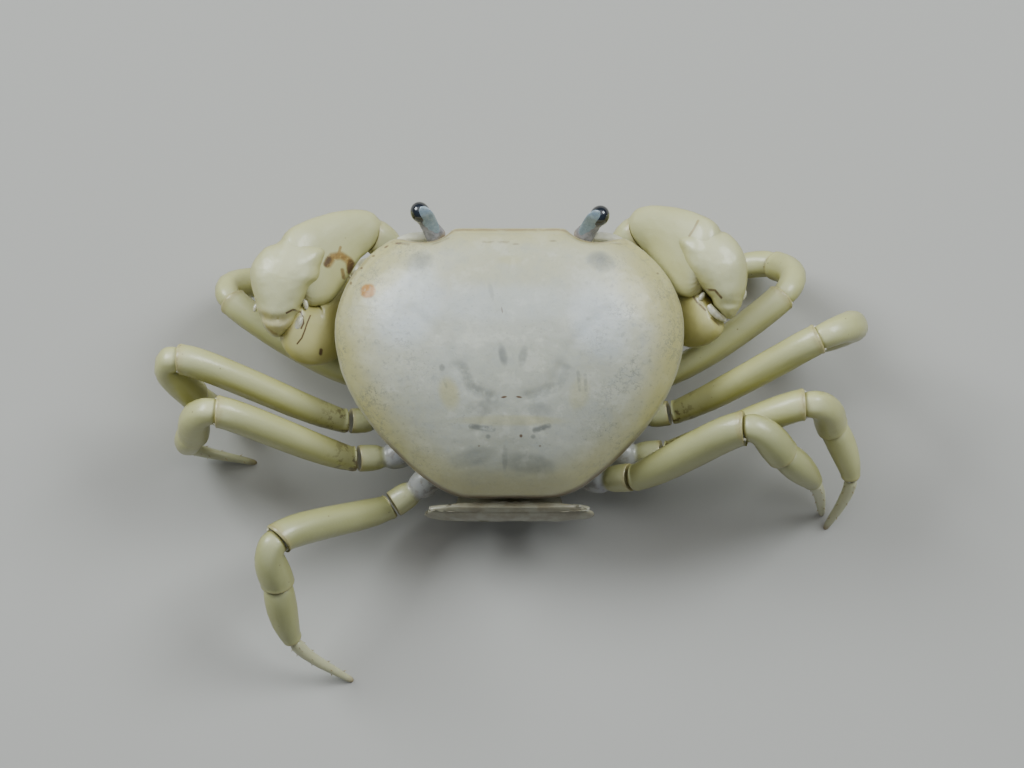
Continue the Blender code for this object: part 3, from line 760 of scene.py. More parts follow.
@dataclass(frozen=True)
class LimbFinish:
    """Pale green-yellow limb plates, with painted shade in olive where they face down and a painted
    highlight where they face up, fine joint lines and scattered specks.
    """

    name: str = "limb_cream"
    cream: Colour = (0.54, 0.54, 0.245, 1.0)
    # Painted shade: the olive that faces looking down turn to
    olive: Colour = (0.33, 0.305, 0.06, 1.0)
    # Painted highlight: the light tone that faces looking up turn to
    painted_highlight: Colour = (0.63, 0.64, 0.40, 1.0)
    brown: Colour = (0.10, 0.052, 0.022, 1.0)
    amber: Colour = (0.40, 0.25, 0.07, 1.0)
    skin: Colour = (0.52, 0.47, 0.32, 1.0)
    root: Colour = (0.42, 0.42, 0.45, 1.0)
    root_length: float = 0.0
    specks: float = 0.6
    dirt: float = 0.0
    joint_line: float = 0.3
    # Lines and rows of specks in plan: points, width, tone (0 amber, 1 brown) and strength
    lines: tuple = ()

    def build(self) -> Material:
        """Makes the material."""
        graph = Graph(self.name)
        facing_up = graph.upward()
        start = graph.mark("from_start")
        end = graph.mark("to_end")
        cloud = graph.noise(0.35, 3.0, 0.55)
        grain = graph.noise(2.6, 4.0, 0.62)
        # Painted shade: faces that look down turn olive
        shade = facing_up.step(0.85, -0.2) * 0.75 + (cloud - 0.5) * 0.6
        colour = graph.mix(shade.most(0.0).least(1.0), self.cream, self.olive)
        # Painted highlight: faces that look up turn lighter
        lit = facing_up.step(0.6, 0.97) * (0.25 + cloud * 0.6)
        colour = graph.mix(lit, colour, self.painted_highlight)
        if self.root_length > 0.0:
            root = start.step(self.root_length, self.root_length * 0.8)
            colour = graph.mix(root * (0.55 + cloud * 0.6), colour, self.root)
        joint = end.step(0.5, 0.1).most(start.step(0.45, 0.0))
        colour = graph.mix(joint * (0.05 + grain * 0.35), colour, self.amber)
        line = (end - 0.1).size().step(0.09, 0.0).most((start - 0.04).size().step(0.1, 0.0))
        colour = graph.mix(line * grain.step(0.3, 0.6) * self.joint_line, colour, self.brown)
        dirt = graph.noise(1.2, 4.0, 0.65).step(0.5, 0.6) * start.step(5.0, 0.0) * self.dirt
        colour = graph.mix(dirt, colour, self.brown)
        colour = graph.mix(start.step(-0.02, -0.12), colour, self.skin)
        cells = graph.cells(1.15)
        scattered = graph.noise(0.5, 2.0).step(0.54, 0.64)
        colour = graph.mix(cells.step(0.11, 0.05) * scattered * self.specks, colour, self.brown)
        for points, width, dark, strength in self.lines:
            share = graph.stroke(points, width) * grain.step(0.2, 0.44) * facing_up.step(0.1, 0.4)
            browner = (grain * 1.6 - 0.8 + dark).least(1.0).most(0.0)
            tone = graph.mix(browner, self.amber, self.brown)
            colour = graph.mix(share * strength, colour, tone)
        pits = graph.cells(3.2).step(0.22, 0.05)
        height = graph.noise(6.0, 2.0, 0.6) * 0.5 + grain - pits * 0.6
        graph.gloss(0.4, 0.2, 0.1)
        return graph.finish(colour, 0.28 + grain * 0.2, height, 0.2)


@dataclass(frozen=True)
class HornFinish:
    """Horn-coloured toe and finger tips on cream limbs."""

    cream: Colour = (0.56, 0.56, 0.36, 1.0)
    straw: Colour = (0.50, 0.48, 0.27, 1.0)
    horn: Colour = (0.30, 0.20, 0.09, 1.0)
    joint_brown: Colour = (0.13, 0.075, 0.035, 1.0)
    name: str = "toe_horn"
    reach: float = 1.5

    def build(self) -> Material:
        """Makes the material."""
        graph = Graph(self.name)
        end = graph.mark("to_end")
        start = graph.mark("from_start")
        grain = graph.noise(2.4, 3.0, 0.6)
        colour = graph.mix((grain * 0.6).least(1.0), self.cream, self.straw)
        colour = graph.mix((end + grain * 0.6).step(self.reach, 0.2), colour, self.horn)
        line = (start - 0.05).size().step(0.16, 0.02)
        colour = graph.mix(line * grain.step(0.35, 0.55) * 0.6, colour, self.joint_brown)
        graph.gloss(0.4, 0.2, 0.1)
        return graph.finish(colour, 0.26 + grain * 0.18, grain, 0.15)


@dataclass(frozen=True)
class PlainFinish:
    """A small part of one colour that clouds into a second one."""

    name: str
    first: Colour
    second: Colour
    scale: float = 1.5
    roughness: float = 0.3
    coat: float = 0.3
    scatter: float = 0.1
    bump: float = 0.12

    def build(self) -> Material:
        """Makes the material."""
        graph = Graph(self.name)
        cloud = graph.noise(self.scale, 3.0, 0.55)
        colour = graph.mix(cloud.step(0.35, 0.65), self.first, self.second)
        graph.gloss(self.coat, 0.2, self.scatter)
        return graph.finish(colour, self.roughness + cloud * 0.12, cloud, self.bump)


@dataclass(frozen=True)
class StalkFinish:
    """Translucent lavender-grey skin with fine dark dots, amber where it leaves the shell."""

    name: str
    first: Colour
    second: Colour
    amber: Colour = (0.29, 0.19, 0.08, 1.0)
    dot: Colour = (0.07, 0.07, 0.08, 1.0)
    root_length: float = 0.8

    def build(self) -> Material:
        """Makes the material."""
        graph = Graph(self.name)
        cloud = graph.noise(1.8, 3.0, 0.6)
        colour = graph.mix(cloud.step(0.35, 0.65), self.first, self.second)
        dots = graph.cells(5.0).step(0.24, 0.1)
        colour = graph.mix(dots * 0.55, colour, self.dot)
        root = graph.mark("from_start").step(self.root_length, self.root_length * 0.2)
        colour = graph.mix(root * cloud * 1.4, colour, self.amber)
        graph.gloss(0.6, 0.1, 0.2)
        return graph.finish(colour, 0.2 + cloud * 0.12, cloud, 0.12)


@dataclass(frozen=True)
class CorneaFinish:
    """Glossy black eye, its upper side painted faint blue as a reflection of the sky, with very
    fine facets.
    """

    black: Colour = (0.004, 0.004, 0.006, 1.0)
    # Painted reflection: the faint blue that the upper side turns to
    blue: Colour = (0.018, 0.03, 0.05, 1.0)

    def build(self) -> Material:
        """Makes the material."""
        graph = Graph("eye_black")
        upward = graph.upward()
        # Painted reflection: faces that look up turn faint blue
        colour = graph.mix(upward.step(0.55, 1.0) * 0.6, self.black, self.blue)
        graph.gloss(0.9, 0.06)
        return graph.finish(colour, 0.12, graph.cells(14.0), 0.05)


CLAW_LINES = (
    (((15.5, -8.35), (15.1, -9.0), (14.4, -9.2), (13.75, -8.85), (13.6, -8.3)), 0.46, 0.25, 1.0),
    (((15.6, -8.3), (15.4, -8.8)), 0.34, 1.0, 1.0), (((13.55, -8.7), (13.7, -8.0)), 0.38, 1.0, 1.0),
    (((14.3, -8.0), (14.2, -7.4)), 0.22, 0.6, 0.8), (((14.6, -9.3), (14.45, -9.9)), 0.16, 0.2, 0.8),
    (((18.95, -4.0), (18.4, -4.3), (17.8, -4.25)), 0.1, 1.0, 1.0),
    (((17.8, -4.25), (17.6, -3.8), (17.55, -3.3), (17.75, -2.85)), 0.1, 1.0, 1.0),
    (((17.0, -4.0), (17.3, -3.2), (17.45, -2.7), (17.7, -2.05), (18.1, -1.55)), 0.09, 1.0, 1.0),
    (((16.1, -1.15), (16.15, -0.85)), 0.2, 1.0, 1.0), (((16.2, 0.15), (14.8, 0.2)), 0.13, 1.0, 0.6),
    (((21.7, -4.0), (21.0, -2.9), (19.9, -2.3)), 0.2, 0.6, 0.6),
    (((21.3, -3.6), (20.2, -2.9), (19.2, -3.1)), 1.1, 0.0, 0.3),
    (((-16.5, -6.1), (-17.45, -5.9), (-18.0, -5.3)), 0.13, 1.0, 0.9),
    (((-15.7, -5.6), (-16.0, -5.1), (-16.7, -4.4)), 0.12, 1.0, 0.8),
    (((-17.2, -3.75), (-17.9, -3.2)), 0.12, 1.0, 0.7),
    (((-15.3, -10.6), (-15.7, -11.2), (-16.05, -11.9)), 0.14, 0.4, 0.6))


class Finish(Protocol):
    """Anything that makes one material."""

    def build(self) -> Material:
        """Makes the material."""


def entry(finish: Finish) -> Material:
    """An entry of the wardrobe, whose material is made with the wardrobe."""
    return field(default_factory=finish.build)


@dataclass
class Wardrobe:
    """All finishes of the crab, each made once."""

    shell: Material = entry(ShellFinish())
    limb: Material = entry(LimbFinish())
    upper: Material = entry(LimbFinish(name="limb_upper", dirt=0.75))
    # Painted shade: a darker copy of the limb finish for the last pair of legs
    shaded_rear_limb: Material = entry(LimbFinish(
        name="limb_painted_shade", cream=(0.42, 0.425, 0.19, 1.0), olive=(0.27, 0.25, 0.05, 1.0),
        painted_highlight=(0.50, 0.51, 0.31, 1.0)))
    toe: Material = entry(HornFinish())
    claw: Material = entry(LimbFinish(
        name="claw_cream", cream=(0.57, 0.565, 0.29, 1.0), olive=(0.39, 0.355, 0.09, 1.0),
        painted_highlight=(0.67, 0.68, 0.45, 1.0), specks=0.25, joint_line=0.15, lines=CLAW_LINES))
    # Painted shade: a darker, yellower copy of the claw finish for the palm under the shell's edge
    palm: Material = entry(LimbFinish(
        name="palm_yellow_shaded", cream=(0.50, 0.465, 0.17, 1.0), olive=(0.34, 0.29, 0.05, 1.0),
        painted_highlight=(0.59, 0.57, 0.30, 1.0), specks=0.25, lines=CLAW_LINES))
    claw_tip: Material = entry(HornFinish(
        name="claw_tip", cream=(0.62, 0.60, 0.42, 1.0), horn=(0.42, 0.28, 0.14, 1.0), reach=1.1))
    cornea: Material = entry(CorneaFinish())
    stalk: Material = entry(StalkFinish(
        "stalk_lavender", (0.26, 0.25, 0.265, 1.0), (0.15, 0.15, 0.155, 1.0)))
    tongue: Material = entry(StalkFinish(
        "stalk_blue", (0.29, 0.37, 0.43, 1.0), (0.20, 0.27, 0.33, 1.0), root_length=0.0))
    # Pale joint knobs and hinge rims, whitish partly in their own colour and partly as painted
    # glints
    knob: Material = entry(PlainFinish(
        "joint_white_glint", (0.66, 0.65, 0.54, 1.0), (0.54, 0.52, 0.36, 1.0), scale=2.2,
        roughness=0.16, coat=0.5, scatter=0.2))
    # The tail's own brown, darkened further as painted shade where it lies under the shell's rear
    tail: Material = entry(PlainFinish(
        "tail_brown_shaded", (0.31, 0.295, 0.215, 1.0), (0.23, 0.205, 0.14, 1.0), scale=0.7,
        roughness=0.34, coat=0.3, scatter=0.15, bump=0.2))
    hip: Material = entry(LimbFinish(
        name="hip_white", cream=(0.46, 0.46, 0.23, 1.0), root=(0.33, 0.33, 0.355, 1.0),
        specks=0.4, dirt=0.4, root_length=2.9))
    under: Material = entry(PlainFinish(
        "underside_cream", (0.62, 0.61, 0.50, 1.0), (0.54, 0.53, 0.40, 1.0), scale=0.4,
        roughness=0.36, coat=0.2, scatter=0.15))


# Body


@dataclass
class Carapace:
    """The shell: dome, rolled edge, flanks, eye hollows and the grooves on its back."""

    top: float = 17.47
    base: float = 7.0
    pole_y: float = -1.2
    front_half_width: float = 4.7
    front: tuple[float, float] = (-11.4, 12.2)
    rear_half_width: float = 4.2
    rear: tuple[float, float] = (11.4, 8.8)
    orbit_edge: tuple = ((4.9, -11.2, 12.1), (5.8, -10.35, 11.9), (7.2, -10.05, 11.8),
                         (8.8, -10.25, 11.7))
    side_edge: tuple = ((9.8, -10.7, 11.6), (11.9, -9.2, 11.8), (14.0, -6.5, 12.2),
                        (14.95, -3.0, 12.3), (14.3, 1.0, 11.9), (12.1, 5.0, 11.0),
                        (8.8, 8.5, 9.8), (6.1, 10.6, 9.0))
    side_steps: int = 20
    notch_depth: float = 0.85
    brow_bulge: float = 0.2
    dome_rings: tuple = (0.07, 0.2, 0.36, 0.52, 0.66, 0.78, 0.87, 0.93, 0.965, 0.985, 1.0)
    wall_drops: tuple = (0.03, 0.08, 0.18, 0.32, 0.5, 0.7, 0.87, 1.0)
    wall_foot: float = 0.63
    mouth_reach: float = 8.5
    dome_powers: tuple[float, float] = (2.25, 1.75)
    wall_powers: tuple[float, float] = (1.6, 0.85)
    front_share: float = 1.6
    hollow_centre: Triple = (7.2, -11.3, 10.75)
    hollow_radii: Triple = (2.2, 1.5, 0.95)
    rim_path: tuple = ((9.7, -10.5, 11.2), (8.8, -10.8, 10.9), (7.6, -10.95, 10.6),
                       (6.4, -10.9, 10.35), (5.4, -10.7, 10.2))
    rim_girth: float = 0.5
    rim_steps: int = 14
    detail: int = 3
    # Grooves and ridges of the dome, mirrored: height, width and path. Inner ones fade at its edge
    inner_folds: tuple = ((-0.12, 0.45, ((4.4, 1.0), (3.5, 2.7), (1.5, 3.5))),
                          (-0.07, 0.5, ((4.4, 1.0), (5.6, -1.4), (8.2, -3.9))),
                          (-0.06, 0.4, ((1.5, 3.5), (1.9, 4.8), (2.7, 6.2))))
    front_folds: tuple = ((0.12, 0.9, ((2.2, -8.6), (1.0, -8.3))),
                          (-0.05, 0.35, ((0.0, -10.6), (0.0, -6.5))))
    # Swells of the dome, mirrored: height, width and place
    swells: tuple = ((0.10, 3.6, 8.8, -0.5), (0.05, 1.7, 0.0, 5.6))
    # Bands along the outline: height, level on the dome and width
    brow_bands: tuple = ((0.11, 0.988, 0.014), (-0.09, 0.955, 0.016))
    flank_groove: Triple = (-0.12, 1.36, 0.035)

    def edges(self) -> tuple[list[Vector], list[Vector]]:
        """Half of the edge from the front's middle to the rear's, with and without eye notches."""
        y, z = self.front
        front = [Vector((self.front_half_width * share, y, z)) for share in (0.0, 0.35, 0.7, 1.0)]
        side = smooth_path([Vector(point) for point in self.side_edge], self.side_steps)
        y, z = self.rear
        rear = [Vector((self.rear_half_width * share, y, z)) for share in (1.0, 0.6, 0.0)]
        notch = [Vector(point) for point in self.orbit_edge]
        brow = []
        for index in range(len(notch)):
            share = (index + 1) / (len(notch) + 1)
            bulge = self.brow_bulge * math.sin(math.pi * share)
            brow.append(blend(front[-1], side[0], share) + Vector((0.0, -bulge, bulge)))
        return front + notch + side + rear, front + brow + side + rear

    def ring_points(self, ring: float) -> list[Vector]:
        """The whole outline at one level: 0 to 1 over the dome and 1 to 2 down the flanks."""
        notched_edge, smooth_edge = self.edges()
        pole = Vector((0.0, self.pole_y, self.top))
        half = []
        for notched, smooth in zip(notched_edge, smooth_edge):
            if ring <= 1.0:
                share = max(0.0, (ring - self.notch_depth) / (1.0 - self.notch_depth))
                point = blend(smooth, notched, share)
                backness = (point.y - self.front[0]) / (self.rear[0] - self.front[0])
                power = blend(*self.dome_powers, backness)
                rise = (1.0 - ring ** power) ** (1.0 / power)
                half.append(Vector((point.x * ring, blend(pole.y, point.y, ring),
                                    blend(point.z, pole.z, rise))))
            else:
                drop = ring - 1.0
                point = blend(notched, smooth, drop)
                ahead = max(0.0, 1.0 - point.x / self.mouth_reach) * self.front_share
                frontness = min(1.0, ahead) if point.y < 0 else 0.0
                power = blend(*self.wall_powers, frontness)
                inset = blend(self.wall_foot, 1.0, (1.0 - drop ** power) ** (1.0 / power))
                half.append(Vector((point.x * inset, blend(pole.y, point.y, inset),
                                    blend(point.z, self.base, drop))))
        mirrored = [Vector((-point.x, point.y, point.z)) for point in reversed(half[1:-1])]
        return half + mirrored

    def relief(self, point: Vector, ring: float, brow: float) -> float:
        """Height of the surface detail at one place, in mm outwards."""
        x, y = abs(point.x), point.y
        height = 0.0
        if ring < 1.0:
            inner = 1.0 - ramp(ring, 0.8, 0.95)
            for folds, share in ((self.inner_folds, inner), (self.front_folds, 1.0)):
                for rise, width, path in folds:
                    height += rise * hump(from_line(x, y, path), width) * share
            for rise, width, middle_x, middle_y in self.swells:
                height += rise * hump(math.hypot(x - middle_x, y - middle_y), width)
        for rise, level, width in self.brow_bands:
            height += rise * hump(ring - level, width) * brow
        rise, level, width = self.flank_groove
        height += rise * hump(ring - level, width) * ramp(y, -9.5, -7.0)
        height += 0.03 * noise.fractal(point * 0.5, 0.6, 2.2, 3)
        height += 0.008 * noise.noise(point * 3.1)
        return height

    def press_hollows(self, obj: Piece) -> None:
        """Presses the hollow of each eye into the front of the shell."""
        rx, ry, rz = self.hollow_radii
        for vertex in obj.data.vertices:
            x = abs(vertex.co.x) - self.hollow_centre[0]
            z = vertex.co.z - self.hollow_centre[2]
            inside = 1.0 - (x / rx) ** 2 - (z / rz) ** 2
            if inside > 0.0:
                wall = self.hollow_centre[1] + ry * math.sqrt(inside)
                if vertex.co.y < wall:
                    vertex.co.y = wall

    def build(self, wardrobe: Wardrobe) -> Piece:
        """Models the shell from its foot to its top and cuts its relief."""
        rings = [1.0 + drop for drop in reversed(self.wall_drops)] + list(reversed(self.dome_rings))
        outlines = [self.ring_points(ring) for ring in rings]
        count = len(outlines[0])
        obj = Bench.stack("shell_carapace", outlines)
        bpy.ops.mesh.inset(thickness=0.4)
        bpy.ops.mesh.merge(type="CENTER")
        Bench.close()
        half = count // 2
        flank = [min(index, count - index) / half for index in range(count)]
        levels = [value for ring in rings for value in [ring] * count]
        Bench.mark(obj, "ring", levels + [0.0])
        Bench.mark(obj, "flank", flank * len(rings) + [0.5])
        Bench.smooth(obj, self.detail)
        self.carve(obj)
        return Bench.deliver(obj, wardrobe.shell, ["carapace"], "shell", 60.0)

    def build_orbit_rims(self, wardrobe: Wardrobe) -> None:
        """Models the pale rim that runs below each eye, from the mouth to the shell's tooth."""
        for side in Side:
            path = smooth_path([side.place(point) for point in self.rim_path], self.rim_steps)
            sizes = []
            for index in range(len(path)):
                share = (index + 1.5) / (self.rim_steps + 3.0)
                girth = self.rim_girth * math.sin(math.pi * share) ** 0.5
                sizes.append((girth * 1.2, girth))
            rim = Bench.rod(f"shell_orbit_rim_{side.word}", along_path(path, UP, sizes), 14, 2)
            roughen(rim, 0.04, 1.2)
            Bench.deliver(rim, wardrobe.under, [], "shell", 70.0)

    def carve(self, obj: Piece) -> None:
        """Cuts the grooves, rims and hollows into the smooth shell."""
        count = len(obj.data.vertices)
        ring = [0.0] * count
        flank = [0.0] * count
        obj.data.attributes["ring"].data.foreach_get("value", ring)
        obj.data.attributes["flank"].data.foreach_get("value", flank)
        brow = [1.0 - 0.85 * ramp(value, 0.36, 0.55) for value in flank]
        normals = [vertex.normal.copy() for vertex in obj.data.vertices]
        for vertex, normal, level, near in zip(obj.data.vertices, normals, ring, brow):
            vertex.co += normal * self.relief(vertex.co, level, near)
        self.press_hollows(obj)
        Bench.mark(obj, "brow", [1.0 - ramp(value, 0.2, 0.3) for value in flank])


@dataclass
class Breastplate:
    """The underside between the legs, with a seam between each pair of plates."""

    outline: tuple = ((-6.6, 2.2), (-6.1, 4.4), (-5.0, 6.2), (-3.0, 7.7), (-0.5, 8.6), (2.0, 9.1),
                      (4.4, 9.1), (6.4, 8.4), (8.0, 7.1), (9.3, 5.2), (10.1, 2.6))
    low: float = 3.4
    high: float = 6.9
    seams: tuple = (((8.6, -2.4), (3.0, -1.4)), ((9.6, 2.0), (3.2, 2.2)), ((9.4, 5.6), (3.6, 4.6)),
                    ((7.8, 8.3), (3.8, 6.4)), ((6.4, -4.8), (2.0, -3.4)))
    seam_width: float = 0.22
    seam_depth: float = 0.38
    swell: float = 0.12
    middle_y: float = 1.5
    middle_radius: float = 0.1
    # Height over the lower face and share of the outline
    levels: tuple = ((0.0, 0.5), (0.0, 0.82), (0.1, 0.93), (0.45, 0.99), (1.0, 1.0), (2.6, 1.0),
                     (3.2, 0.97), (3.5, 0.92))

    def half_width(self, y: float) -> float:
        """Half width at one place along the body."""
        for (y0, w0), (y1, w1) in zip(self.outline, self.outline[1:]):
            if y0 <= y <= y1:
                return blend(w0, w1, (y - y0) / (y1 - y0))
        return self.outline[-1][1]

    def build(self, wardrobe: Wardrobe) -> Piece:
        """Models the plate upwards from its lower face."""
        left = smooth_path([Vector((width, y, 0.0)) for y, width in self.outline], 30)
        loop = left + [Vector((-point.x, point.y, 0.0)) for point in reversed(left)]
        middle = Vector((0.0, self.middle_y, 0.0))
        turns = [math.tau * index / len(loop) for index in range(len(loop))]
        foot = [Vector((math.sin(turn), -math.cos(turn), 0.0)) * self.middle_radius
                for turn in turns]
        rings = [[middle + UP * self.low + point for point in foot]]
        for rise, share in self.levels:
            rings.append([blend(middle, point, share) + UP * (self.low + rise) for point in loop])
        obj = Bench.stack("breastplate", rings)
        Bench.close()
        Bench.smooth(obj, 2)
        for vertex in obj.data.vertices:
            below = 1.0 - ramp(vertex.co.z, self.low + 0.5, self.low + 1.6)
            x, y = abs(vertex.co.x), vertex.co.y
            cut = max(hump(from_line(x, y, seam), self.seam_width) for seam in self.seams)
            swell = self.swell * noise.noise(vertex.co * 0.4)
            vertex.co.z += (cut * self.seam_depth + swell) * below
        return Bench.deliver(obj, wardrobe.under, ["sternum"], "shell", 60.0)


@dataclass
class Abdomen:
    """The tail: overlapping plates folded down and forward under the body, and the tail tip."""

    stations: tuple = ((11.9, 8.75, 5.0, 0.33), (12.15, 8.3, 6.9, 0.4), (12.5, 7.7, 7.5, 0.46),
                       (12.8, 6.7, 7.1, 0.48), (12.7, 5.4, 5.7, 0.45), (12.15, 4.1, 5.0, 0.42),
                       (11.0, 3.05, 4.5, 0.4), (9.4, 2.7, 4.2, 0.38), (6.0, 2.65, 3.6, 0.38),
                       (2.5, 2.65, 2.9, 0.38), (-1.0, 2.65, 2.2, 0.38), (-3.6, 2.7, 1.6, 0.36),
                       (-5.0, 2.75, 0.8, 0.3))
    plates: tuple = ((0.0, 1.15), (1.05, 2.9), (2.8, 4.6), (4.5, 6.3), (6.2, 8.05), (7.95, 9.6),
                     (9.5, 12.0))
    # Place along a plate and share of its full section there
    swell: tuple = ((0.0, 0.84), (0.1, 0.9), (0.3, 0.95), (0.6, 0.98), (0.88, 1.0), (0.97, 0.98),
                    (1.0, 0.92))

    def heading(self, index: int) -> Vector:
        """The way along the tail at one station."""
        before = self.stations[max(index - 1, 0)]
        after = self.stations[min(index + 1, len(self.stations) - 1)]
        return Vector((0.0, after[0] - before[0], after[1] - before[1])).normalized()

    def section(self, path: float, share: float) -> Section:
        """The cross-section at one place along the tail, thinner where it tucks under."""
        index = min(int(path), len(self.stations) - 2)
        mix = path - index
        here, after = self.stations[index], self.stations[index + 1]
        y, z, wide, thick = (blend(a, b, mix) for a, b in zip(here, after))
        direction = blend(self.heading(index), self.heading(index + 1), mix).normalized()
        return Section(Vector((0.0, y, z)), ACROSS, direction.cross(ACROSS), wide * share,
                       thick * share)

    def build(self, wardrobe: Wardrobe) -> Piece:
        """Models each plate as a flat ring that swells towards its rear edge."""
        plates = []
        for number, (start, end) in enumerate(self.plates):
            sections = [self.section(blend(start, end, t), share) for t, share in self.swell]
            plates.append(Bench.rod(f"tail_plate_{number}", sections, 32, 2, Profile(3.4)))
        obj = Bench.join("tail_plates", plates)
        for vertex in obj.data.vertices:
            vertex.co += vertex.normal * (0.08 * noise.noise(vertex.co * 0.6) - 0.04)
        return Bench.deliver(obj, wardrobe.tail, ["abdomen"], "shell", 60.0)


@dataclass
class Mouth:
    """The outer mouthparts: on each side a long plate, a short plate, a palp and a side rod."""

    stations: tuple = ((-10.5, 10.3), (-10.25, 9.7), (-9.75, 8.9), (-9.2, 8.0), (-8.7, 7.1),
                       (-8.3, 6.2), (-8.0, 5.4), (-7.8, 4.7))
    thickness: float = 0.5
    # Corners as places across and along the mouth, then how far the middle stands out
    long_plate: tuple = (((0.12, 2.9), (2.55, 2.7), (2.2, 6.9), (0.12, 6.9)), 0.12)
    short_plate: tuple = (((0.5, 0.5), (2.9, 0.35), (2.55, 2.55), (0.12, 2.75)), 0.14)
    # Places across and along the mouth, and outwards
    rod_path: tuple = ((3.75, 0.6, 0.02), (3.8, 3.0, 0.02), (3.6, 5.2, 0.02))
    palp_path: tuple = ((0.75, 0.55, 0.32), (0.35, 1.2, 0.5), (0.3, 2.2, 0.5), (0.36, 3.1, 0.42))

    def surface(self, x: float, path: float, height: float) -> Vector:
        """A place on the closed mouth: across, down along the stations, and outwards."""
        path = min(max(path, 0.0), len(self.stations) - 1.001)
        index = int(path)
        here, after = (Vector((0.0, *self.stations[index + step])) for step in (0, 1))
        direction = (after - here).normalized()
        outward = direction.cross(ACROSS)
        if outward.y > 0.0:
            outward.negate()
        return blend(here, after, path - index) + ACROSS * x + outward * height

    def plate(self, name: str, corners: Sequence[tuple[float, float]],
              swell: float) -> Piece:
        """A thin rounded plate over the mouth.

        Args:
            name: the piece's name.
            corners: its four corners as places across and along the mouth.
            swell: how far its middle stands out.

        Returns:
            The plate, in millimetres.
        """
        Bench.clear()
        bpy.ops.mesh.primitive_cube_add(size=2.0)
        obj = Bench.settle(bpy.context.object, name)
        Bench.edit(obj)
        bpy.ops.mesh.subdivide(number_cuts=5)
        Bench.close()
        a, b, c, d = corners
        for vertex in obj.data.vertices:
            u, v = (vertex.co.x + 1.0) / 2.0, (vertex.co.y + 1.0) / 2.0
            top = (blend(a[0], b[0], u), blend(a[1], b[1], u))
            foot = (blend(d[0], c[0], u), blend(d[1], c[1], u))
            crown = (1.0 - vertex.co.x ** 4) * (1.0 - vertex.co.y ** 4)
            height = vertex.co.z * self.thickness * 0.5
            if vertex.co.z > 0.0:
                height += swell * crown
            vertex.co = self.surface(blend(top[0], foot[0], v), blend(top[1], foot[1], v), height)
        Bench.modify(obj, "BEVEL", width=0.12, segments=2, angle_limit=math.radians(35))
        Bench.smooth(obj, 1)
        return obj

    def path(self, places: Sequence[Triple], sign: float, steps: int) -> list[Vector]:
        """A smooth path over the mouth on one side."""
        return smooth_path([self.surface(x * sign, path, height) for x, path, height in places],
                           steps)

    def build(self, wardrobe: Wardrobe) -> None:
        """Models each side and joins it into one piece."""
        for side in Side:
            groups = []
            for name, (corners, swell) in (("long", self.long_plate), ("short", self.short_plate)):
                placed = [(x * side.value, path) for x, path in corners]
                groups.append(self.plate(name, placed, swell))
            path = self.path(self.rod_path, side.value, 8)
            sizes = [(0.24 + 0.16 * math.sin(math.pi * index / 8), 0.2) for index in range(9)]
            groups.append(Bench.rod("side_rod", along_path(path, ACROSS, sizes), 10, 1))
            path = self.path(self.palp_path, side.value, 7)
            girths = [0.34 - 0.025 * index for index in range(8)]
            sizes = [(girth, girth * 0.8) for girth in girths]
            groups.append(Bench.rod("palp", along_path(path, ACROSS, sizes), 10, 1))
            joined = Bench.join(f"mouthparts_{side.word}", groups)
            Bench.deliver(joined, wardrobe.under, ["mouthparts"], "claw", 50.0)


@dataclass
class Eye:
    """One eye: the stalk, the black cornea at its end, and the stalk's pale tongue over it."""

    side: Side
    centre: Triple
    base: Triple = (6.15, -10.75, 10.75)
    radii: tuple = ((0.0, 0.86), (0.1, 0.88), (0.3, 0.8), (0.5, 0.69), (0.68, 0.65), (0.82, 0.66),
                    (0.93, 0.62), (1.0, 0.45))
    cornea_radii: Triple = (0.84, 0.9, 0.95)
    # Tongue: distance behind the eye's middle, half width and height, then angle and half width
    tongue_run: tuple = ((2.3, 0.3, 0.6), (1.9, 0.5, 0.62), (1.3, 0.6, 0.62), (0.7, 0.63, 0.66))
    tongue_steps: tuple = ((96.0, 0.62), (82.0, 0.58), (68.0, 0.53), (56.0, 0.46), (46.0, 0.36),
                           (38.0, 0.22), (33.0, 0.08))

    def build(self, wardrobe: Wardrobe) -> None:
        """Models the stalk, the tongue and the cornea."""
        word = self.side.word
        base, centre = self.side.place(self.base), self.side.place(self.centre)
        direction = (centre - base).normalized()
        outward = carry(self.side.place((1.0, 0.0, 0.0)), direction)
        above = carry(UP, direction)
        round_side = direction.cross(outward)
        sections = [Section(blend(base, centre, t), outward, round_side, radius, radius)
                    for t, radius in self.radii]
        stalk = Bench.rod(f"eyestalk_{word}", sections, 20, 2)
        length = (centre - base).length
        for vertex in stalk.data.vertices:
            along = (vertex.co - base).dot(direction) / length
            vertex.co += vertex.normal * 0.02 * math.sin(along * 34.0) * ramp(along, 0.25, 0.5)
        mark_lie(stalk, sections)
        basis = Matrix((outward, round_side, direction)).transposed()
        cornea = Bench.knob(f"eye_cornea_{word}", centre, self.cornea_radii, basis, 36, 24)
        Bench.smooth(cornea, 1)
        sections = []
        inward = outward * -0.26
        for behind, half_wide, height in self.tongue_run:
            place = centre - direction * behind + above * height + inward * (1.0 - behind * 0.25)
            across = carry(outward, direction)
            sections.append(Section(place, across, direction.cross(across), half_wide, 0.15))
        for angle, half_wide in self.tongue_steps:
            turned = math.radians(angle)
            radial = direction * math.cos(turned) + above * math.sin(turned)
            along = direction * math.sin(turned) - above * math.cos(turned)
            across = carry(outward, along)
            sections.append(Section(centre + radial * 0.84 + inward, across, along.cross(across),
                                    half_wide, 0.15))
        tongue = Bench.rod(f"eye_tongue_{word}", sections, 20, 2)
        mark_lie(tongue, sections)
        Bench.deliver(stalk, wardrobe.stalk, [f"eyestalk_{word}"], "stalk", 70.0)
        Bench.deliver(tongue, wardrobe.tongue, [], "stalk", 70.0)
        Bench.deliver(cornea, wardrobe.cornea, [f"eye_{word}"], "eye", 70.0)


EYE_CENTRES = {Side.LEFT: (7.62, -12.8, 12.6), Side.RIGHT: (7.68, -12.5, 12.6)}


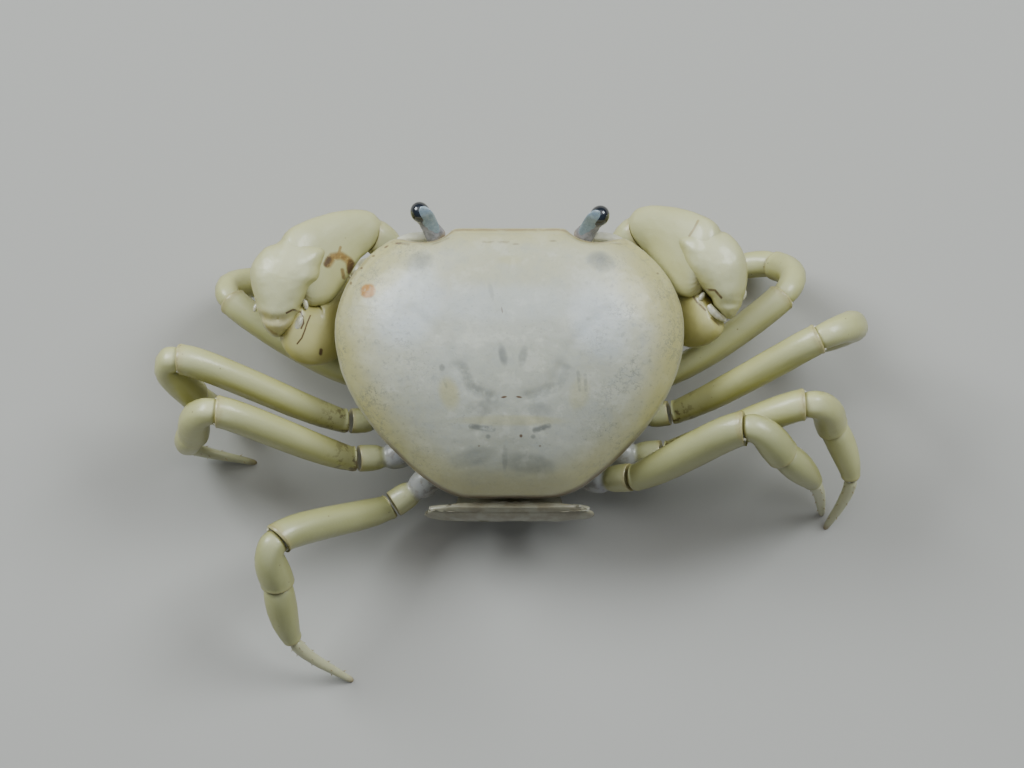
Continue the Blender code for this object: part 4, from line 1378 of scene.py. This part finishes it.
@dataclass
class Feeler:
    """The short feeler beside the eye: a swollen root and a thin jointed whip."""

    side: Side
    base: Triple = (4.45, -10.85, 10.25)
    tip: Triple = (4.9, -11.35, 8.8)
    radii: tuple = (0.42, 0.44, 0.4, 0.3, 0.34, 0.3, 0.2, 0.19, 0.15, 0.11, 0.06)

    def build(self, wardrobe: Wardrobe) -> None:
        """Models the feeler along a line that droops to its tip."""
        base, tip = self.side.place(self.base), self.side.place(self.tip)
        path = smooth_path([base, blend(base, tip, 0.5) + UP * 0.2, tip], len(self.radii) - 1)
        sections = along_path(path, ACROSS, [(radius, radius) for radius in self.radii])
        obj = Bench.rod(f"feeler_{self.side.word}", sections, 12, 1)
        Bench.deliver(obj, wardrobe.stalk, [f"antenna_{self.side.word}"], "stalk", 60.0)


# Limbs


@dataclass
class Plate:
    """One hard piece of a limb along a gentle curve."""

    name: str
    start: Vector
    start_aim: Vector
    end: Vector
    end_aim: Vector
    side: Vector
    shape: Sequence[Triple]
    handle: float = 0.3
    sides: int = 20
    profile: Profile = Profile()
    lip: float = 0.0
    sections: list[Section] = field(default_factory=list)

    def lay_out(self) -> Vector:
        """Works out the sections, and hands back the side direction at the far end."""
        reach = (self.end - self.start).length * self.handle
        first = self.start + self.start_aim * reach
        second = self.end - self.end_aim * reach
        side = self.side
        for t, half_wide, half_high in self.shape:
            s = 1.0 - t
            centre = (self.start * s ** 3 + first * 3 * s * s * t + second * 3 * s * t * t
                      + self.end * t ** 3)
            slope = ((first - self.start) * s * s + (second - first) * 2 * s * t
                     + (self.end - second) * t * t).normalized()
            side = carry(side, slope)
            self.sections.append(Section(centre, side, slope.cross(side), half_wide, half_high))
        return side

    def build(self, levels: int = 1) -> Piece:
        """Models the piece, with a rim round its far end where it has one."""
        if not self.sections:
            self.lay_out()
        obj = Bench.loft(self.name, self.sections, self.sides, self.profile)
        if self.lip > 0.0:
            Bench.lip(self.sections[-1], self.lip)
        Bench.close()
        Bench.smooth(obj, levels)
        mark_lie(obj, self.sections)
        return obj


def mark_lie(obj: Piece, sections: Sequence[Section]) -> None:
    """Writes on each point how far it lies from the two ends of its limb piece, in mm."""
    lengths = [(after.centre - before.centre).length
               for before, after in zip(sections, sections[1:])]
    total = sum(lengths)
    starts = []
    for vertex in obj.data.vertices:
        best = math.inf
        place = 0.0
        run = 0.0
        for before, after, length in zip(sections, sections[1:], lengths):
            offset = vertex.co - before.centre
            direction = (after.centre - before.centre) / length
            share = offset.dot(direction)
            kept = min(length, max(0.0, share))
            apart = (offset - direction * kept).length_squared
            if apart < best:
                best = apart
                place = run + kept
            run += length
        starts.append(place)
    Bench.mark(obj, "from_start", starts)
    Bench.mark(obj, "to_end", [total - value for value in starts])


def roughen(obj: Piece, height: float, scale: float) -> None:
    """Gives a smooth piece the slight unevenness of a grown one."""
    normals = [vertex.normal.copy() for vertex in obj.data.vertices]
    for vertex, normal in zip(obj.data.vertices, normals):
        vertex.co += normal * height * (noise.fractal(vertex.co * scale, 0.6, 2.1, 3) - 1.5)


@dataclass
class WalkingLeg:
    """One walking leg: hip, upper leg, knee, shin and toe, with joint knobs and toe spines."""

    side: Side
    number: int
    breastplate: Breastplate
    lengths: tuple
    root: tuple[float, float]
    root_heading: float
    pose: tuple
    girth: float

    JOINT_SHARES = (0.7, 0.6, 0.5, 0.6)
    HANDLES = {"hip": 0.3, "merus": 0.15, "carpus": 0.42, "propodus": 0.33, "dactylus": 0.33}
    KNOB_SIZES = {"merus": 0.18, "carpus": 0.18, "propodus": 0.12}
    LIP = 0.08
    TOE_SINK = 0.25
    TOE_DROOP = 0.45
    SPINE_ANGLES = (45.0, 135.0, 225.0, 315.0)
    SPINE_RADIUS = 0.07
    SPINE_HEIGHT = 0.26
    LOWEST_SPINE = 0.6
    SHAPES = {
        "hip": ((0.0, 1.05, 1.1), (0.08, 1.2, 1.25), (0.2, 1.27, 1.32), (0.36, 1.22, 1.27),
                (0.46, 1.12, 1.16), (0.5, 0.98, 1.0), (0.54, 0.9, 0.92), (0.58, 0.98, 1.02),
                (0.64, 1.12, 1.16), (0.78, 1.16, 1.22), (0.96, 1.18, 1.25), (1.0, 1.12, 1.19)),
        "merus": ((-0.025, 1.07, 1.13), (0.0, 1.09, 1.16), (0.012, 1.12, 1.2), (0.035, 1.14, 1.24),
                  (0.055, 1.06, 1.16), (0.09, 1.12, 1.28), (0.25, 1.24, 1.45), (0.45, 1.31, 1.57),
                  (0.65, 1.36, 1.6), (0.82, 1.38, 1.56), (0.92, 1.38, 1.5), (0.955, 1.36, 1.46),
                  (0.975, 1.44, 1.53), (0.99, 1.42, 1.5), (1.0, 1.32, 1.4)),
        "carpus": ((-0.07, 1.06, 1.1), (0.0, 1.14, 1.18), (0.05, 1.18, 1.21), (0.12, 1.23, 1.25),
                   (0.35, 1.31, 1.33), (0.65, 1.42, 1.42), (0.85, 1.42, 1.41), (0.92, 1.4, 1.38),
                   (0.96, 1.44, 1.42), (0.985, 1.4, 1.38), (1.0, 1.28, 1.26)),
        "propodus": ((-0.06, 1.05, 1.05), (0.0, 1.16, 1.14), (0.05, 1.25, 1.22), (0.15, 1.3, 1.27),
                     (0.35, 1.32, 1.28), (0.65, 1.18, 1.12), (0.84, 0.94, 0.95), (0.91, 0.84, 0.86),
                     (0.95, 0.86, 0.88), (0.98, 0.8, 0.82), (1.0, 0.7, 0.72)),
        "dactylus": ((-0.04, 0.42, 0.43), (0.0, 0.54, 0.55), (0.04, 0.62, 0.62), (0.1, 0.6, 0.62),
                     (0.3, 0.5, 0.55), (0.6, 0.42, 0.45), (0.85, 0.32, 0.34), (1.0, 0.25, 0.27)),
    }
    PROFILES = {
        "hip": Profile(2.2),
        "merus": Profile(2.25, 90.0, 0.05, 35.0, 0.02, 22.0),
        "carpus": Profile(2.3, 70.0, 0.04, 40.0, 0.05, 15.0),
        "propodus": Profile(2.4, 90.0, 0.03, 50.0, 0.04, 14.0),
        "dactylus": Profile(2.0),
    }
    PIECE_NAMES = {"hip": "hip", "merus": "upper", "carpus": "knee", "propodus": "shin",
                   "dactylus": "toe"}

    def joints(self) -> list[Vector]:
        """Places of the joints from the breastplate to the floor."""
        root_y, root_z = self.root
        sign = self.side.value
        root = Vector((sign * (self.breastplate.half_width(root_y) + GAP), root_y, root_z))
        *bends, toe_heading = self.pose
        joints = [root]
        for (heading, pitch), length in zip(bends, self.lengths):
            joints.append(joints[-1] + aim(heading, pitch, sign) * length)
        toe_pitch = -math.degrees(math.asin(joints[-1].z / self.lengths[-1]))
        joints.append(joints[-1] + aim(toe_heading, toe_pitch, sign) * self.lengths[-1])
        return joints

    def joint_aims(self, joints: Sequence[Vector]) -> list[Vector]:
        """Directions that the faces of each joint look along."""
        directions = [(after - before).normalized() for before, after in zip(joints, joints[1:])]
        aims = [aim(self.root_heading, 0, self.side.value)]
        for share, before, after in zip(self.JOINT_SHARES, directions, directions[1:]):
            aims.append((before * share + after * (1.0 - share)).normalized())
        aims.append((directions[-1] - UP * self.TOE_DROOP).normalized())
        return aims

    def plates(self) -> dict[str, Plate]:
        """Lays out the five pieces of the leg, each on its own curve."""
        joints = self.joints()
        aims = self.joint_aims(joints)
        side = aims[0].cross(UP) * -1.0
        made = {}
        for index, (piece, shape) in enumerate(self.SHAPES.items()):
            is_toe = piece == "dactylus"
            start = joints[index] + aims[index] * (0.0 if index == 0 else GAP / 2)
            end = joints[index + 1] - aims[index + 1] * (0.0 if is_toe else GAP / 2)
            if is_toe:
                end = end - UP * self.TOE_SINK
            side = carry(side, aims[index])
            scaled = [(t, wide * self.girth, high * self.girth) for t, wide, high in shape]
            name = f"leg{self.number}_{self.side.word}_{self.PIECE_NAMES[piece]}"
            plate = Plate(name, start, aims[index], end, aims[index + 1], side, scaled,
                          self.HANDLES[piece], 20, self.PROFILES[piece],
                          0.0 if is_toe else self.LIP)
            side = plate.lay_out()
            made[piece] = plate
        return made

    def joint_knobs(self, plate: Plate, size: float) -> list[Piece]:
        """The two knobs that the next piece hinges on, whitish partly in their own colour and
        partly as painted glints.
        """
        last = plate.sections[-1]
        radii = (size * 0.7, size * 1.0, size * 1.1)
        centres = [last.centre + last.side * sign * last.half_wide * 0.84 for sign in (1.0, -1.0)]
        return [Bench.knob("knob", centre, radii, last.basis, 14, 8) for centre in centres]

    def toe_spines(self, plate: Plate) -> list[Piece]:
        """Rows of small horny spines along the toe."""
        spines = []
        for row, angle in enumerate(self.SPINE_ANGLES):
            turned = math.radians(angle)
            for index in range(2, 6):
                section = plate.sections[index]
                after = plate.sections[index + 1]
                out = section.side * math.cos(turned) + section.above * math.sin(turned)
                place = blend(section.centre, after.centre, row / len(self.SPINE_ANGLES))
                root = place + out * section.half_wide * 0.9
                lean = (out + section.along * 0.8).normalized()
                if root.z > self.LOWEST_SPINE:
                    spines.append(Bench.spine("spine", root, lean, self.SPINE_RADIUS,
                                              self.SPINE_HEIGHT))
        return spines

    def finish(self, piece: str, wardrobe: Wardrobe) -> Material:
        """The finish of one piece: dirt on two upper legs, and the last leg darker as painted
        shade.
        """
        if piece in ("hip", "dactylus"):
            return wardrobe.hip if piece == "hip" else wardrobe.toe
        if piece == "merus" and self.number in (3, 4):
            return wardrobe.upper
        return wardrobe.shaded_rear_limb if self.number == 5 else wardrobe.limb

    def finish_toe(self, toe: Piece, plate: Plate) -> Piece:
        """Cuts the toe off level with the floor and sets its spines."""
        Bench.edit(toe)
        bpy.ops.mesh.bisect(plane_co=(0.0, 0.0, 0.0), plane_no=(0.0, 0.0, -1.0), use_fill=True,
                            clear_outer=True)
        Bench.close()
        spines = self.toe_spines(plate)
        for spine in spines:
            mark_lie(spine, plate.sections)
            Bench.mark(spine, "to_end", [0.4] * len(spine.data.vertices))
        return Bench.join(toe.name, [toe, *spines])

    def build(self, wardrobe: Wardrobe) -> None:
        """Models and dresses the leg."""
        for piece, plate in self.plates().items():
            obj = plate.build(1)
            roughen(obj, 0.025, 0.7)
            if piece == "dactylus":
                obj = self.finish_toe(obj, plate)
            finish = self.finish(piece, wardrobe)
            obj.data.materials.append(finish)
            if piece in self.KNOB_SIZES:
                knobs = self.joint_knobs(plate, self.KNOB_SIZES[piece])
                for knob in knobs:
                    knob.data.materials.append(wardrobe.knob)
                obj = Bench.join(obj.name, [obj, *knobs])
            Bench.deliver(obj, finish, [f"leg{self.number}_{self.side.word}_{piece}"], "limb", 50.0)


LEG_LENGTHS = {
    2: (3.5, 13.7, 6.1, 6.6, 6.8),
    3: (4.6, 16.8, 6.5, 7.0, 7.5),
    4: (4.9, 14.6, 5.7, 5.8, 6.1),
    5: (4.9, 12.5, 4.7, 6.4, 7.2),
}
LEG_ROOTS = {2: (-0.6, 5.0), 3: (3.9, 5.0), 4: (6.75, 4.95), 5: (8.7, 5.1)}
LEG_ROOT_HEADINGS = {2: 5.0, 3: -8.0, 4: -35.0, 5: -55.0}
LEG_GIRTHS = {2: 0.93, 3: 0.96, 4: 1.0, 5: 1.04}
# Heading and pitch of hip, upper leg, knee and shin, then the toe's heading
LEG_POSES = {
    (Side.LEFT, 2): ((-20.5, 1), (29, 9), (140.5, -54.5), (178.5, -9), 178),
    (Side.LEFT, 3): ((-6.5, 9), (17.5, 26.5), (-115.5, -64), (-158, -62), -163),
    (Side.LEFT, 4): ((-10.5, 4.5), (15.5, 32.6), (-33, -63.5), (-65.5, -82.5), -168.5),
    (Side.LEFT, 5): ((-37, -11), (-20.5, 35), (-90, -38.5), (-105.5, -43), -147),
    (Side.RIGHT, 2): ((-21.5, 1), (31, 14), (99.5, -57), (-176, -19), -176.5),
    (Side.RIGHT, 3): ((3.5, 1), (23.5, 36.5), (27, -59), (-161.5, -62), -158),
    (Side.RIGHT, 4): ((-4.5, 2), (16, 31.5), (-31.5, -58), (-67.5, -41.5), -116.5),
    (Side.RIGHT, 5): ((-10, 29), (20.5, 36), (-32, -34), (-34, -58), -64),
}


@dataclass
class Claw:
    """One claw limb: hip, arm, wrist, palm with the fixed finger, free finger and hinge.

    Places and outlines have x counted outwards from the body's middle line.
    """

    side: Side
    breastplate: Breastplate
    hip_end: Triple
    arm_end: Triple
    wrist_outline: tuple
    wrist_furrow: tuple
    rim_path: tuple
    hinge_places: tuple
    palm_start: Triple
    palm_stations: tuple
    finger_base: Triple
    root: tuple[float, float] = (-4.9, 5.0)
    root_heading: float = 38.0
    hip_shape: tuple = ((0.0, 1.2, 1.15), (0.06, 1.4, 1.3), (0.2, 1.47, 1.36),
                        (0.38, 1.42, 1.36), (0.46, 1.26, 1.26), (0.5, 1.12, 1.12),
                        (0.54, 1.16, 1.16), (0.62, 1.38, 1.38), (0.8, 1.52, 1.46),
                        (0.93, 1.58, 1.48), (1.0, 1.4, 1.3))
    arm_shape: tuple = ((-0.1, 1.25, 1.15), (-0.03, 1.55, 1.35), (0.0, 1.8, 1.42),
                        (0.04, 2.0, 1.48), (0.16, 2.15, 1.53), (0.3, 2.5, 1.62), (0.5, 3.15, 1.75),
                        (0.66, 3.6, 1.8), (0.76, 3.7, 1.78), (0.88, 3.25, 1.7), (1.0, 2.5, 1.4))
    arm_run_on: float = 2.6
    wrist_middle: float = 12.55
    wrist_levels: tuple = ((0.5, -2.2), (0.76, -2.0), (0.91, -1.5), (0.98, -0.75), (1.0, 0.0),
                           (0.985, 0.6), (0.94, 1.15), (0.85, 1.62), (0.7, 2.0), (0.5, 2.27),
                           (0.28, 2.42), (0.1, 2.47))
    wrist_droop: float = 0.17
    wrist_points: int = 72
    wrist_softness: int = 10
    # The wrist's furrow: depth and width, then height, distance and width of the swell beside it
    furrow: tuple[float, float] = (0.22, 0.26)
    furrow_swell: Triple = (0.07, 0.5, 0.3)
    palm_start_aim: Triple = (-0.78, 0.48, -0.42)
    palm_socket: tuple[float, float] = (1.9, 1.5)
    finger_length: float = 6.6
    finger_aim: Triple = (-0.8, -0.44, -0.3)
    # Place along a finger, offset from its line, half height and half thickness
    fixed_shape: tuple = ((-0.09, 0.0, 2.75, 1.6), (-0.01, -1.5, 1.1, 1.15),
                          (0.15, -1.46, 1.0, 1.03), (0.3, -1.4, 0.88, 0.92), (0.6, -1.1, 0.68, 0.7),
                          (0.85, -0.65, 0.45, 0.45), (1.0, -0.4, 0.22, 0.22))
    free_shape: tuple = ((0.0, 1.4, 0.75, 0.75), (0.06, 1.45, 0.95, 0.95), (0.12, 1.5, 1.12, 1.1),
                         (0.2, 1.52, 1.05, 1.02), (0.35, 1.5, 0.92, 0.92), (0.62, 1.2, 0.68, 0.7),
                         (0.86, 0.75, 0.45, 0.45), (1.0, 0.45, 0.22, 0.22))
    # Share of the finger's length and size
    tooth_places: tuple = ((0.2, 0.3), (0.33, 0.24), (0.45, 0.26), (0.57, 0.18), (0.68, 0.2),
                           (0.78, 0.15), (0.87, 0.13))

    @property
    def word(self) -> str:
        """The side's name."""
        return self.side.word

    def place(self, point: Triple) -> Vector:
        """A place on this side."""
        return self.side.place(point)

    def build_arm(self, wardrobe: Wardrobe) -> None:
        """Models the hip and the arm, whose rear face is flat and slopes to the shell."""
        sign = self.side.value
        root_y, root_z = self.root
        root = Vector((sign * (self.breastplate.half_width(root_y) + GAP), root_y, root_z))
        hip_end, arm_end = self.place(self.hip_end), self.place(self.arm_end)
        root_aim = aim(self.root_heading, 0, sign)
        arm_aim = (arm_end - hip_end).normalized()
        elbow_aim = ((hip_end - root).normalized() + arm_aim).normalized()
        hip = Plate(f"claw_{self.word}_base", root, root_aim, hip_end - elbow_aim * GAP / 2,
                    elbow_aim, carry(AHEAD, root_aim), self.hip_shape, 0.3, 20, Profile(2.3), 0.08)
        arm = Plate(f"claw_{self.word}_arm", hip_end + elbow_aim * GAP / 2, elbow_aim,
                    arm_end + arm_aim * self.arm_run_on, arm_aim, carry(AHEAD, elbow_aim),
                    self.arm_shape, 0.3, 28,
                    Profile(2.2, -38.0 * sign, 0.09, -118.0 * sign, 0.11, 30.0))
        for plate, node in ((hip, "hip"), (arm, "merus")):
            obj = plate.build(2)
            roughen(obj, 0.035, 0.6)
            Bench.deliver(obj, wardrobe.claw, [f"claw_{self.word}_{node}"], "claw", 50.0)

    def build_wrist(self, wardrobe: Wardrobe) -> None:
        """Models the wrist from its outline, domed above and below, with a furrow at its rear."""
        outline = [self.place((x, y, 0.0)) for x, y in self.wrist_outline]
        count = self.wrist_points
        loop = smooth_path([*outline, outline[0]], count)[:-1]
        middle = sum(loop, Vector()) / count
        around = range(-self.wrist_softness, self.wrist_softness + 1)
        oval = [sum((loop[(index + step) % count] for step in around), Vector()) / len(around)
                for index in range(count)]
        rings = []
        for share, rise in self.wrist_levels:
            rings.append([])
            for point, soft in zip(loop, oval):
                place = blend(middle, blend(soft, point, ramp(share, 0.45, 0.97)), share)
                sunk = self.wrist_droop * max(0.0, place.y - middle.y) ** 1.4 * 0.6
                rings[-1].append(Vector((place.x, place.y, self.wrist_middle + rise - sunk)))
        obj = Bench.stack(f"claw_{self.word}_wrist", rings)
        Bench.extrude(UP * 0.01)
        bpy.ops.mesh.merge(type="CENTER")
        Bench.close()
        Bench.smooth(obj, 2)
        line = [(x * self.side.value, y) for x, y in self.wrist_furrow]
        depth, width = self.furrow
        swell, distance, breadth = self.furrow_swell
        for vertex in obj.data.vertices:
            if vertex.co.z > self.wrist_middle - 1.6:
                apart = from_line(vertex.co.x, vertex.co.y, line)
                vertex.co.z -= depth * hump(apart, width)
                vertex.co += vertex.normal * swell * hump(apart - distance, breadth)
        roughen(obj, 0.05, 0.5)
        Bench.mark(obj, "from_start", [4.0] * len(obj.data.vertices))
        Bench.mark(obj, "to_end", [4.0] * len(obj.data.vertices))
        Bench.deliver(obj, wardrobe.claw, [f"claw_{self.word}_carpus"], "claw", 45.0)

    def finger_sections(self, shape: Sequence[tuple]) -> list[Section]:
        """Sections along a finger, offset towards or away from the palm's front edge."""
        direction = self.place(self.finger_aim).normalized()
        across = carry(AHEAD, direction)
        base = self.place(self.finger_base)
        return [Section(base + direction * self.finger_length * t + across * offset, across,
                        direction.cross(across), high, thick) for t, offset, high, thick in shape]

    def teeth(self, sections: Sequence[Section], toward: float) -> list[Piece]:
        """Rounded teeth along the edge of a finger that faces the other one."""
        made = []
        first, last = sections[0], sections[-1]
        for share, size in self.tooth_places:
            best = min(sections, key=lambda item: abs(
                (item.centre - first.centre).length - share * (last.centre - first.centre).length))
            near = sections[min(sections.index(best) + 1, len(sections) - 1)]
            centre = blend(best.centre, near.centre, 0.3)
            out = best.side * toward
            root = centre + out * blend(best.half_wide, near.half_wide, 0.3) * 0.9
            made.append(Bench.knob("tooth", root, (size * 0.9, size * 0.7, size * 1.1), best.basis,
                                   10, 6))
        return made

    def build_palm(self, wardrobe: Wardrobe) -> None:
        """Models the palm with its fixed finger, then the free finger."""
        palm_start = self.place(self.palm_start)
        palm_aim = self.place(self.palm_start_aim).normalized()
        wide, high = self.palm_socket
        finger_aim = self.place(self.finger_aim).normalized()
        side = carry(AHEAD, palm_aim)
        above = palm_aim.cross(side)
        sections = [Section(palm_start - palm_aim * 0.1, side, above, wide * 0.8, high * 0.8),
                    Section(palm_start + palm_aim * GAP, side, above, wide, high)]
        stations = [(self.place(centre), high, thick) for centre, high, thick in self.palm_stations]
        for index, (centre, high, thick) in enumerate(stations):
            before = stations[max(index - 1, 0)][0]
            after = stations[min(index + 1, len(stations) - 1)][0]
            direction = (after - before).normalized()
            if index == len(stations) - 1:
                direction = (direction + finger_aim).normalized()
            side = carry(side, direction)
            sections.append(Section(centre, side, direction.cross(side), high, thick))
        fixed = self.finger_sections(self.fixed_shape)
        sections += fixed
        palm = Bench.rod(f"claw_{self.word}_palm", sections, 24, 2, Profile(2.35))
        mark_lie(palm, sections)
        roughen(palm, 0.04, 0.6)
        teeth = self.teeth(fixed[1:], 1.0)
        palm.data.materials.append(wardrobe.palm)
        for tooth in teeth:
            tooth.data.materials.append(wardrobe.claw_tip)
            mark_lie(tooth, fixed)
        palm = Bench.join(palm.name, [palm, *teeth])
        Bench.deliver(palm, wardrobe.palm, [f"claw_{self.word}_palm"], "claw", 60.0)
        free = self.finger_sections(self.free_shape)
        finger = Bench.rod(f"claw_{self.word}_free_finger", free, 20, 2, Profile(2.2))
        mark_lie(finger, free)
        teeth = self.teeth(free[1:], -1.0)
        for tooth in teeth:
            mark_lie(tooth, free)
        finger = Bench.join(finger.name, [finger, *teeth])
        Bench.deliver(finger, wardrobe.claw_tip, [f"claw_{self.word}_finger"], "claw", 60.0)

    def build_hinge(self, wardrobe: Wardrobe) -> None:
        """Models the shining rim of the palm round the wrist's rear lobe, and its hinge knobs."""
        path = smooth_path([self.place(point) for point in self.rim_path], 14)
        girths = [0.19 + 0.15 * math.sin(math.pi * (index + 0.7) / 15.4) for index in range(15)]
        sections = along_path(path, UP, [(girth * 1.15, girth) for girth in girths])
        pieces = [Bench.rod(f"claw_{self.word}_hinge", sections, 14, 1)]
        for x, y, z, wide, long, turn in self.hinge_places:
            basis = Matrix.Rotation(math.radians(turn) * self.side.value, 3, "Z")
            pieces.append(Bench.knob("hinge", self.place((x, y, z)), (wide, long, wide), basis,
                                     20, 12))
        obj = Bench.join(pieces[0].name, pieces)
        Bench.deliver(obj, wardrobe.knob, [], "claw", 70.0)

    def build(self, wardrobe: Wardrobe) -> None:
        """Models and dresses the whole claw."""
        self.build_arm(wardrobe)
        self.build_wrist(wardrobe)
        self.build_palm(wardrobe)
        self.build_hinge(wardrobe)


CLAW_PLACES = {
    Side.LEFT: {
        "hip_end": (12.1, -11.5, 8.2),
        "arm_end": (16.8, -8.15, 11.7),
        "wrist_outline": (
            (18.75, -11.2), (19.8, -10.25), (20.9, -9.85), (21.65, -9.05), (22.15, -8.1),
            (22.15, -7.0), (21.95, -5.8), (21.4, -4.1), (20.8, -2.7), (19.9, -2.05), (19.1, -2.45),
            (18.35, -3.5), (17.75, -4.65), (16.95, -6.2), (16.2, -7.0), (15.95, -8.2),
            (15.65, -9.5), (16.7, -10.1), (17.8, -10.9)),
        "wrist_furrow": ((21.7, -4.0), (20.4, -3.45), (19.2, -3.4), (18.3, -3.9)),
        "rim_path": (
            (17.75, -3.9, 12.35), (17.95, -3.4, 12.4), (18.3, -2.8, 12.2), (18.8, -2.4, 11.9)),
        "hinge_places": (
            (17.4, -4.95, 12.4, 0.24, 0.5, 12.0), (21.7, -4.7, 11.7, 0.2, 0.36, -15.0)),
        "palm_start": (18.8, -4.0, 11.5),
        "palm_stations": (
            ((18.1, -3.2, 11.1), 2.4, 1.4), ((17.2, -2.45, 10.5), 2.85, 1.5),
            ((16.2, -2.5, 9.7), 3.05, 1.55), ((15.1, -4.3, 8.4), 2.6, 1.35),
            ((13.9, -6.2, 6.2), 2.9, 1.65)),
        "finger_base": (13.0, -6.9, 4.6),
    },
    Side.RIGHT: {
        "hip_end": (11.3, -11.75, 8.4),
        "arm_end": (15.35, -8.9, 11.9),
        "wrist_outline": (
            (16.45, -12.05), (16.95, -11.85), (17.8, -11.2), (18.65, -10.9), (19.6, -9.95),
            (20.1, -8.75), (20.25, -7.5), (20.1, -6.1), (19.75, -5.0), (19.4, -4.2), (18.8, -3.75),
            (18.15, -4.1), (17.6, -4.8), (17.0, -5.8), (16.1, -6.7), (15.15, -7.9), (14.65, -9.4),
            (14.4, -10.4), (15.2, -10.9), (15.85, -11.5)),
        "wrist_furrow": ((17.2, -4.9), (17.8, -4.85), (18.6, -4.75), (19.9, -4.95)),
        "rim_path": (
            (17.0, -4.9, 12.3), (17.3, -4.4, 12.35), (17.8, -3.95, 12.1), (18.5, -3.65, 11.8)),
        "hinge_places": (
            (16.4, -5.6, 12.4, 0.24, 0.42, 30.0), (19.95, -5.9, 11.5, 0.3, 0.55, 10.0)),
        "palm_start": (17.2, -5.3, 11.3),
        "palm_stations": (
            ((17.0, -4.8, 11.2), 2.5, 1.6), ((16.1, -3.95, 10.3), 2.7, 1.5),
            ((15.4, -4.0, 9.4), 2.9, 1.5), ((14.5, -5.3, 8.2), 2.7, 1.35),
            ((13.3, -6.9, 5.8), 2.8, 1.6)),
        "finger_base": (12.4, -7.6, 4.6),
    },
}


@dataclass
class Studio:
    """A pale floor, three soft lights and the camera above the tail."""

    aim_point: Triple = (-0.21, 1.87, 12.0)
    elevation: float = 84.0
    distance: float = 450.0
    picture_width: float = 87.25
    sensor: float = 36.0
    floor_size: float = 1.6
    floor_colour: Colour = (0.48, 0.475, 0.45, 1.0)
    floor_shade: float = 0.94
    room_colour: Colour = (0.80, 0.85, 0.90, 1.0)
    room_strength: float = 0.18
    # Name, place and size in metres, power and colour
    lamps: tuple = (("window_left", (0.42, -0.32, 0.38), 0.30, 3.6, (0.92, 0.98, 1.0)),
                    ("window_right", (-0.36, -0.28, 0.42), 0.26, 2.5, (0.92, 0.98, 1.0)),
                    ("sky", (0.0, -0.30, 0.58), 0.60, 1.4, (1.0, 0.98, 0.95)))

    def floor(self) -> None:
        """Lays the floor."""
        Bench.clear()
        bpy.ops.mesh.primitive_plane_add(size=self.floor_size)
        ground = Bench.settle(bpy.context.object, "floor")
        graph = Graph("floor_plaster")
        cloud = graph.noise(0.02, 3.0, 0.5)
        shade = tuple(value * self.floor_shade for value in self.floor_colour[:3]) + (1.0,)
        colour = graph.mix(cloud, self.floor_colour, shade)
        ground.data.materials.append(graph.finish(colour, 0.75))

    def lamp(self, name: str, offset: Triple, size: float, power: float, colour: Triple) -> None:
        """A square soft light that looks at the crab from an offset in metres."""
        light = bpy.data.lights.new(name, "AREA")
        light.size = size
        light.energy = power
        light.color = colour
        lamp = bpy.data.objects.new(name, light)
        bpy.context.scene.collection.objects.link(lamp)
        lamp.location = offset
        lamp.rotation_euler = Vector(offset).to_track_quat("Z", "Y").to_euler()

    def camera(self) -> None:
        """Sets the camera at the photograph's angle, over the crab's tail."""
        lens = bpy.data.cameras.new("camera")
        lens.sensor_width = self.sensor
        lens.lens = self.sensor * self.distance / self.picture_width
        holder = bpy.data.objects.new("camera", lens)
        bpy.context.scene.collection.objects.link(holder)
        rise = math.radians(self.elevation)
        back = Vector((0.0, math.cos(rise), math.sin(rise)))
        holder.location = ORIGIN + (Vector(self.aim_point) + back * self.distance) * MM
        holder.rotation_euler = back.to_track_quat("Z", "Y").to_euler()
        bpy.context.scene.camera = holder

    def build(self) -> None:
        """Sets up floor, lights and camera."""
        self.floor()
        for lamp in self.lamps:
            self.lamp(*lamp)
        world = bpy.data.worlds.new("soft_room")
        world.use_nodes = True
        background = world.node_tree.nodes["Background"]
        background.inputs["Color"].default_value = self.room_colour
        background.inputs["Strength"].default_value = self.room_strength
        bpy.context.scene.world = world
        self.camera()


def main() -> None:
    """Builds the crab piece by piece, then the room round it."""
    logging.basicConfig(level=logging.INFO, format="%(name)s %(message)s")
    wardrobe = Wardrobe()
    breastplate = Breastplate()
    carapace = Carapace()
    carapace.build(wardrobe)
    carapace.build_orbit_rims(wardrobe)
    breastplate.build(wardrobe)
    Abdomen().build(wardrobe)
    Mouth().build(wardrobe)
    for side in Side:
        Eye(side, EYE_CENTRES[side]).build(wardrobe)
        Feeler(side).build(wardrobe)
        Claw(side, breastplate, **CLAW_PLACES[side]).build(wardrobe)
        for number, lengths in LEG_LENGTHS.items():
            WalkingLeg(side, number, breastplate, lengths, LEG_ROOTS[number],
                       LEG_ROOT_HEADINGS[number], LEG_POSES[side, number],
                       LEG_GIRTHS[number]).build(wardrobe)
    Studio().build()
    Bench.clear()


if __name__ == "__main__":
    main()
